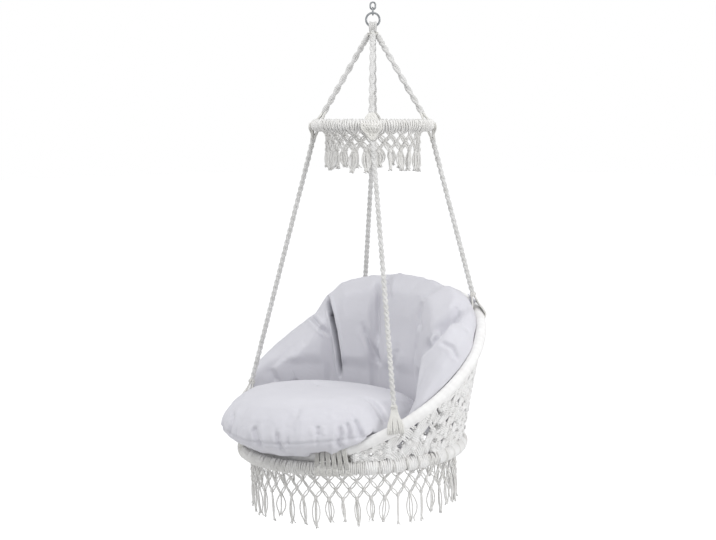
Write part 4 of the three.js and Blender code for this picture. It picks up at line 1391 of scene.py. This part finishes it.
# %% Sew the back cushion
WING_VALLEY = (
    (0.291, 0.099, -0.872), (0.279, 0.082, -0.899), (0.262, 0.060, -0.925), (0.246, 0.041, -0.951),
    (0.231, 0.022, -0.977), (0.216, 0.001, -1.007),
)
WING_EDGE = (
    (0.296, 0.104, -0.876), (0.283, 0.086, -0.903), (0.266, 0.064, -0.930), (0.252, 0.048, -0.956),
    (0.238, 0.028, -0.983),
)
LEFT_SEAM = (
    (-0.262, 0.050, -0.885), (-0.239, 0.049, -0.943), (-0.221, 0.050, -0.997), (-0.205, 0.050, -1.064),
    (-0.196, 0.050, -1.150),
)
BACK_MARKS = (
    (0.0060, 0.036, LEFT_SEAM),
    (0.0065, 0.014, ((-0.291, 0.011, -0.955), (-0.262, 0.018, -0.982), (-0.228, 0.027, -1.010))),
    (0.012, 0.004, ((-0.305, -0.150, -1.105), (-0.298, -0.137, -1.128), (-0.296, -0.128, -1.150))),
    (0.007, 0.008, ((-0.110, 0.180, -0.826), (-0.090, 0.155, -0.860), (-0.070, 0.136, -0.900))),
    (0.006, 0.005, ((-0.132, 0.149, -0.842), (-0.112, 0.133, -0.930), (-0.100, 0.125, -1.040))),
    (0.009, 0.011, (
        (-0.135, 0.086, -0.975), (-0.127, 0.090, -0.997), (-0.106, 0.099, -1.041), (-0.080, 0.116, -1.100),
    )),
    (0.012, 0.007, ((0.060, 0.138, -0.890), (0.068, 0.132, -0.925), (0.080, 0.125, -0.985))),
    (0.012, 0.008, ((-0.008, 0.112, -1.035), (-0.024, 0.110, -1.090), (-0.008, 0.111, -1.130))),
    (0.008, 0.010, ((0.225, 0.125, -0.885), (0.240, 0.108, -0.908), (0.262, 0.080, -0.935))),
    (0.0190, 0.028, WING_VALLEY),
    (0.0060, 0.022, WING_EDGE),
    (0.007, 0.008, ((0.350, 0.004, -1.022), (0.337, -0.010, -0.985), (0.305, -0.028, -0.972))),
)


def sew_back(piece):
    facing = read_vertices(piece, "normal")
    points, painted_seam_shade = press_marks(piece, read_vertices(piece, "co"), facing, BACK_MARKS)
    move_to(piece, off_the_hoop(off_the_hoop(clear_the_seat(points), "back"), "seat"))
    # The painted shade of the seams goes on the mesh, and the cloth darkens by it.
    write_attribute(piece, "painted_seam_shade", painted_seam_shade)


sew_back(back_cushion)
for piece, node, body, fill in (
    (seat_cushion, "seat_cushion", "seat_cushion", 0.7),
    (back_cushion, "back_cushion", "chair", 0.75),
):
    piece.data.polygons.foreach_set("use_smooth", [True] * len(piece.data.polygons))
    finish_piece(piece, body, cover_cloth)
    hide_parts(node)
    print(piece.name, "sewn")

# %% [markdown]
# The back cushion is tied to the hoop with tapes cut from the cover cloth. A tape is a thin band round
# the wound hoop, and it ends in a small bow on the outside.

# %% Tie the cushion to the hoop
TAPE_THICKNESS = 0.0012
TIE_DEGREES = 150
TIE_RING = 0.0190


def tape(points, facing, width):
    """A flat band along points. facing gives the band's broad side at each point."""
    verts, faces = [], []
    last = len(points) - 1
    for i, point in enumerate(points):
        run = (points[min(i + 1, last)] - points[max(i - 1, 0)]).normalized()
        out = (facing[i] - run * facing[i].dot(run)).normalized()
        across = run.cross(out)
        for a, b in ((-1, -1), (1, -1), (1, 1), (-1, 1)):
            verts.append(tuple(point + across * (a * width / 2) + out * (b * TAPE_THICKNESS / 2)))
    for i in range(last):
        for j in range(4):
            k = (j + 1) % 4
            faces.append((i * 4 + j, i * 4 + k, (i + 1) * 4 + k, (i + 1) * 4 + j))
    faces.append((3, 2, 1, 0))
    faces.append(tuple(last * 4 + j for j in range(4)))
    return verts, faces


def tie(side):
    """The bands of one tie: a ring round the hoop, and the two loops and two tails of its bow."""
    angle = math.radians(TIE_DEGREES * side)
    middle = hoop_point("back", angle)
    out = (hoop_point("back", angle, out=0.01) - middle).normalized()
    up = (tilt_of("back") @ Vector((0, 0, 1))).normalized()
    way = hoop_way("back", angle)
    turns = [2 * math.pi * i / 24 for i in range(25)]
    facing = [out * math.cos(at) + up * math.sin(at) for at in turns]
    bands = [([middle + direction * TIE_RING for direction in facing], facing, 0.014)]
    knot = middle + up * 0.0185 + out * 0.004
    for turn in (1, -1):
        loop, facing = [], []
        for i in range(13):
            at = math.pi * 2 * i / 12
            reach = 0.017 * (1 - math.cos(at)) / 2
            rise = 0.0075 * math.sin(at)
            loop.append(knot + way * (turn * reach * 1.5) + up * (rise + 0.003) + out * 0.004)
            facing.append(up * math.cos(at * 0.5) + out * 0.6)
        bands.append((loop, facing, 0.010))
        tail = []
        for t in (0, 0.3, 0.6, 1):
            aside, away, drop = turn * 0.020 * t, 0.006 + 0.010 * t, 0.030 * t * t
            tail.append(knot + way * aside + out * away - up * drop)
        bands.append((tail, [out + up * 0.4] * 4, 0.011))
    return bands


for name, side in (("right", 1), ("left", -1)):
    verts, faces = [], []
    for points, facing, width in tie(side):
        band_verts, band_faces = tape(points, facing, width)
        faces += [tuple(len(verts) + v for v in face) for face in band_faces]
        verts += band_verts
    piece = add_piece(f"cushion_tape_{name}", verts, faces)
    apply_modifier(piece, "SUBSURF", levels=1, render_levels=1)
    finish_piece(piece, "chair", cover_cloth)
    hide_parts(f"cushion_tie_{name}")
    print(piece.name, "faces", len(piece.data.polygons))

# %% [markdown]
# The chair hangs over a pale floor in soft daylight. The floor and the sky look white to the camera and
# to mirror reflections, while the light that they give is lower, so that the white cotton keeps its
# shading.

# %% Paint the sky and the floor
FLOOR_HEIGHT = -1.95


def white_to_the_eye(tree):
    """One for camera, mirror and transmission rays, and nought for the others."""
    path = tree.nodes.new("ShaderNodeLightPath")
    seen = path.outputs["Is Camera Ray"]
    for kind in ("Is Glossy Ray", "Is Transmission Ray"):
        either = tree.nodes.new("ShaderNodeMath")
        either.operation = "MAXIMUM"
        tree.links.new(seen, either.inputs[0])
        tree.links.new(path.outputs[kind], either.inputs[1])
        seen = either.outputs[0]
    return seen


def two_faces(tree, giving, shown, output):
    """Gives light by one shader and shows the other one to the eye."""
    mixer = tree.nodes.new("ShaderNodeMixShader")
    tree.links.new(white_to_the_eye(tree), mixer.inputs["Fac"])
    tree.links.new(giving, mixer.inputs[1])
    tree.links.new(shown, mixer.inputs[2])
    tree.links.new(mixer.outputs[0], output.inputs["Surface"])


def shining(tree, kind, color, strength):
    node = tree.nodes.new(kind)
    node.inputs["Color"].default_value = (*color, 1)
    node.inputs["Strength"].default_value = strength
    return node.outputs[0]


world = bpy.data.worlds.new("soft_sky")
bpy.context.scene.world = world
world.use_nodes = True
tree = world.node_tree
tree.nodes.clear()
giving = shining(tree, "ShaderNodeBackground", (0.97, 0.98, 1.0), 0.62)
shown = shining(tree, "ShaderNodeBackground", (1, 1, 1), 1.0)
two_faces(tree, giving, shown, tree.nodes.new("ShaderNodeOutputWorld"))

bpy.ops.object.select_all(action="DESELECT")
bpy.ops.mesh.primitive_plane_add(size=60, location=(0, 0, FLOOR_HEIGHT))
floor = bpy.context.object
floor.name = "pale_floor"
settle(floor)
floor_paint, floor_shader = new_material("floor_paint", (0.80, 0.80, 0.80), 0.9)
tree = floor_paint.node_tree
brighter = tree.nodes.new("ShaderNodeAddShader")
tree.links.new(floor_shader.outputs[0], brighter.inputs[0])
tree.links.new(shining(tree, "ShaderNodeEmission", (1, 1, 1), 0.55), brighter.inputs[1])
two_faces(tree, floor_shader.outputs[0], brighter.outputs[0], tree.nodes["Material Output"])
floor.data.materials.append(floor_paint)
print("floor at", FLOOR_HEIGHT)

# %% [markdown]
# Three softboxes shape the form: a strong one high up beside the camera, one low on the right that
# lights the net, and a weaker one on the left. A row holds the azimuth, elevation, distance, size and
# power of one.

# %% Hang the softboxes
SOFTBOXES = {
    "key_softbox": (40, 60, 3.4, 2.0, 42),
    "right_softbox": (104, 16, 3.6, 2.0, 45),
    "left_softbox": (-32, 28, 3.6, 2.2, 26),
}
for name, (azimuth, elevation, distance, size, power) in SOFTBOXES.items():
    bpy.ops.object.select_all(action="DESELECT")
    side = from_camera_side(math.radians(azimuth), math.radians(elevation))
    bpy.ops.object.light_add(type="AREA", location=Vector((0, 0, -0.9)) + side * distance)
    lamp = bpy.context.object
    lamp.name = name
    lamp.rotation_euler = (-side).to_track_quat("-Z", "Y").to_euler()
    lamp.data.size = size
    lamp.data.energy = power
    print(name, "power", power)

# %% [markdown]
# The view transform is Standard, so that a colour is seen about as it is written.

# %% Finish
bpy.context.scene.view_settings.view_transform = "Standard"
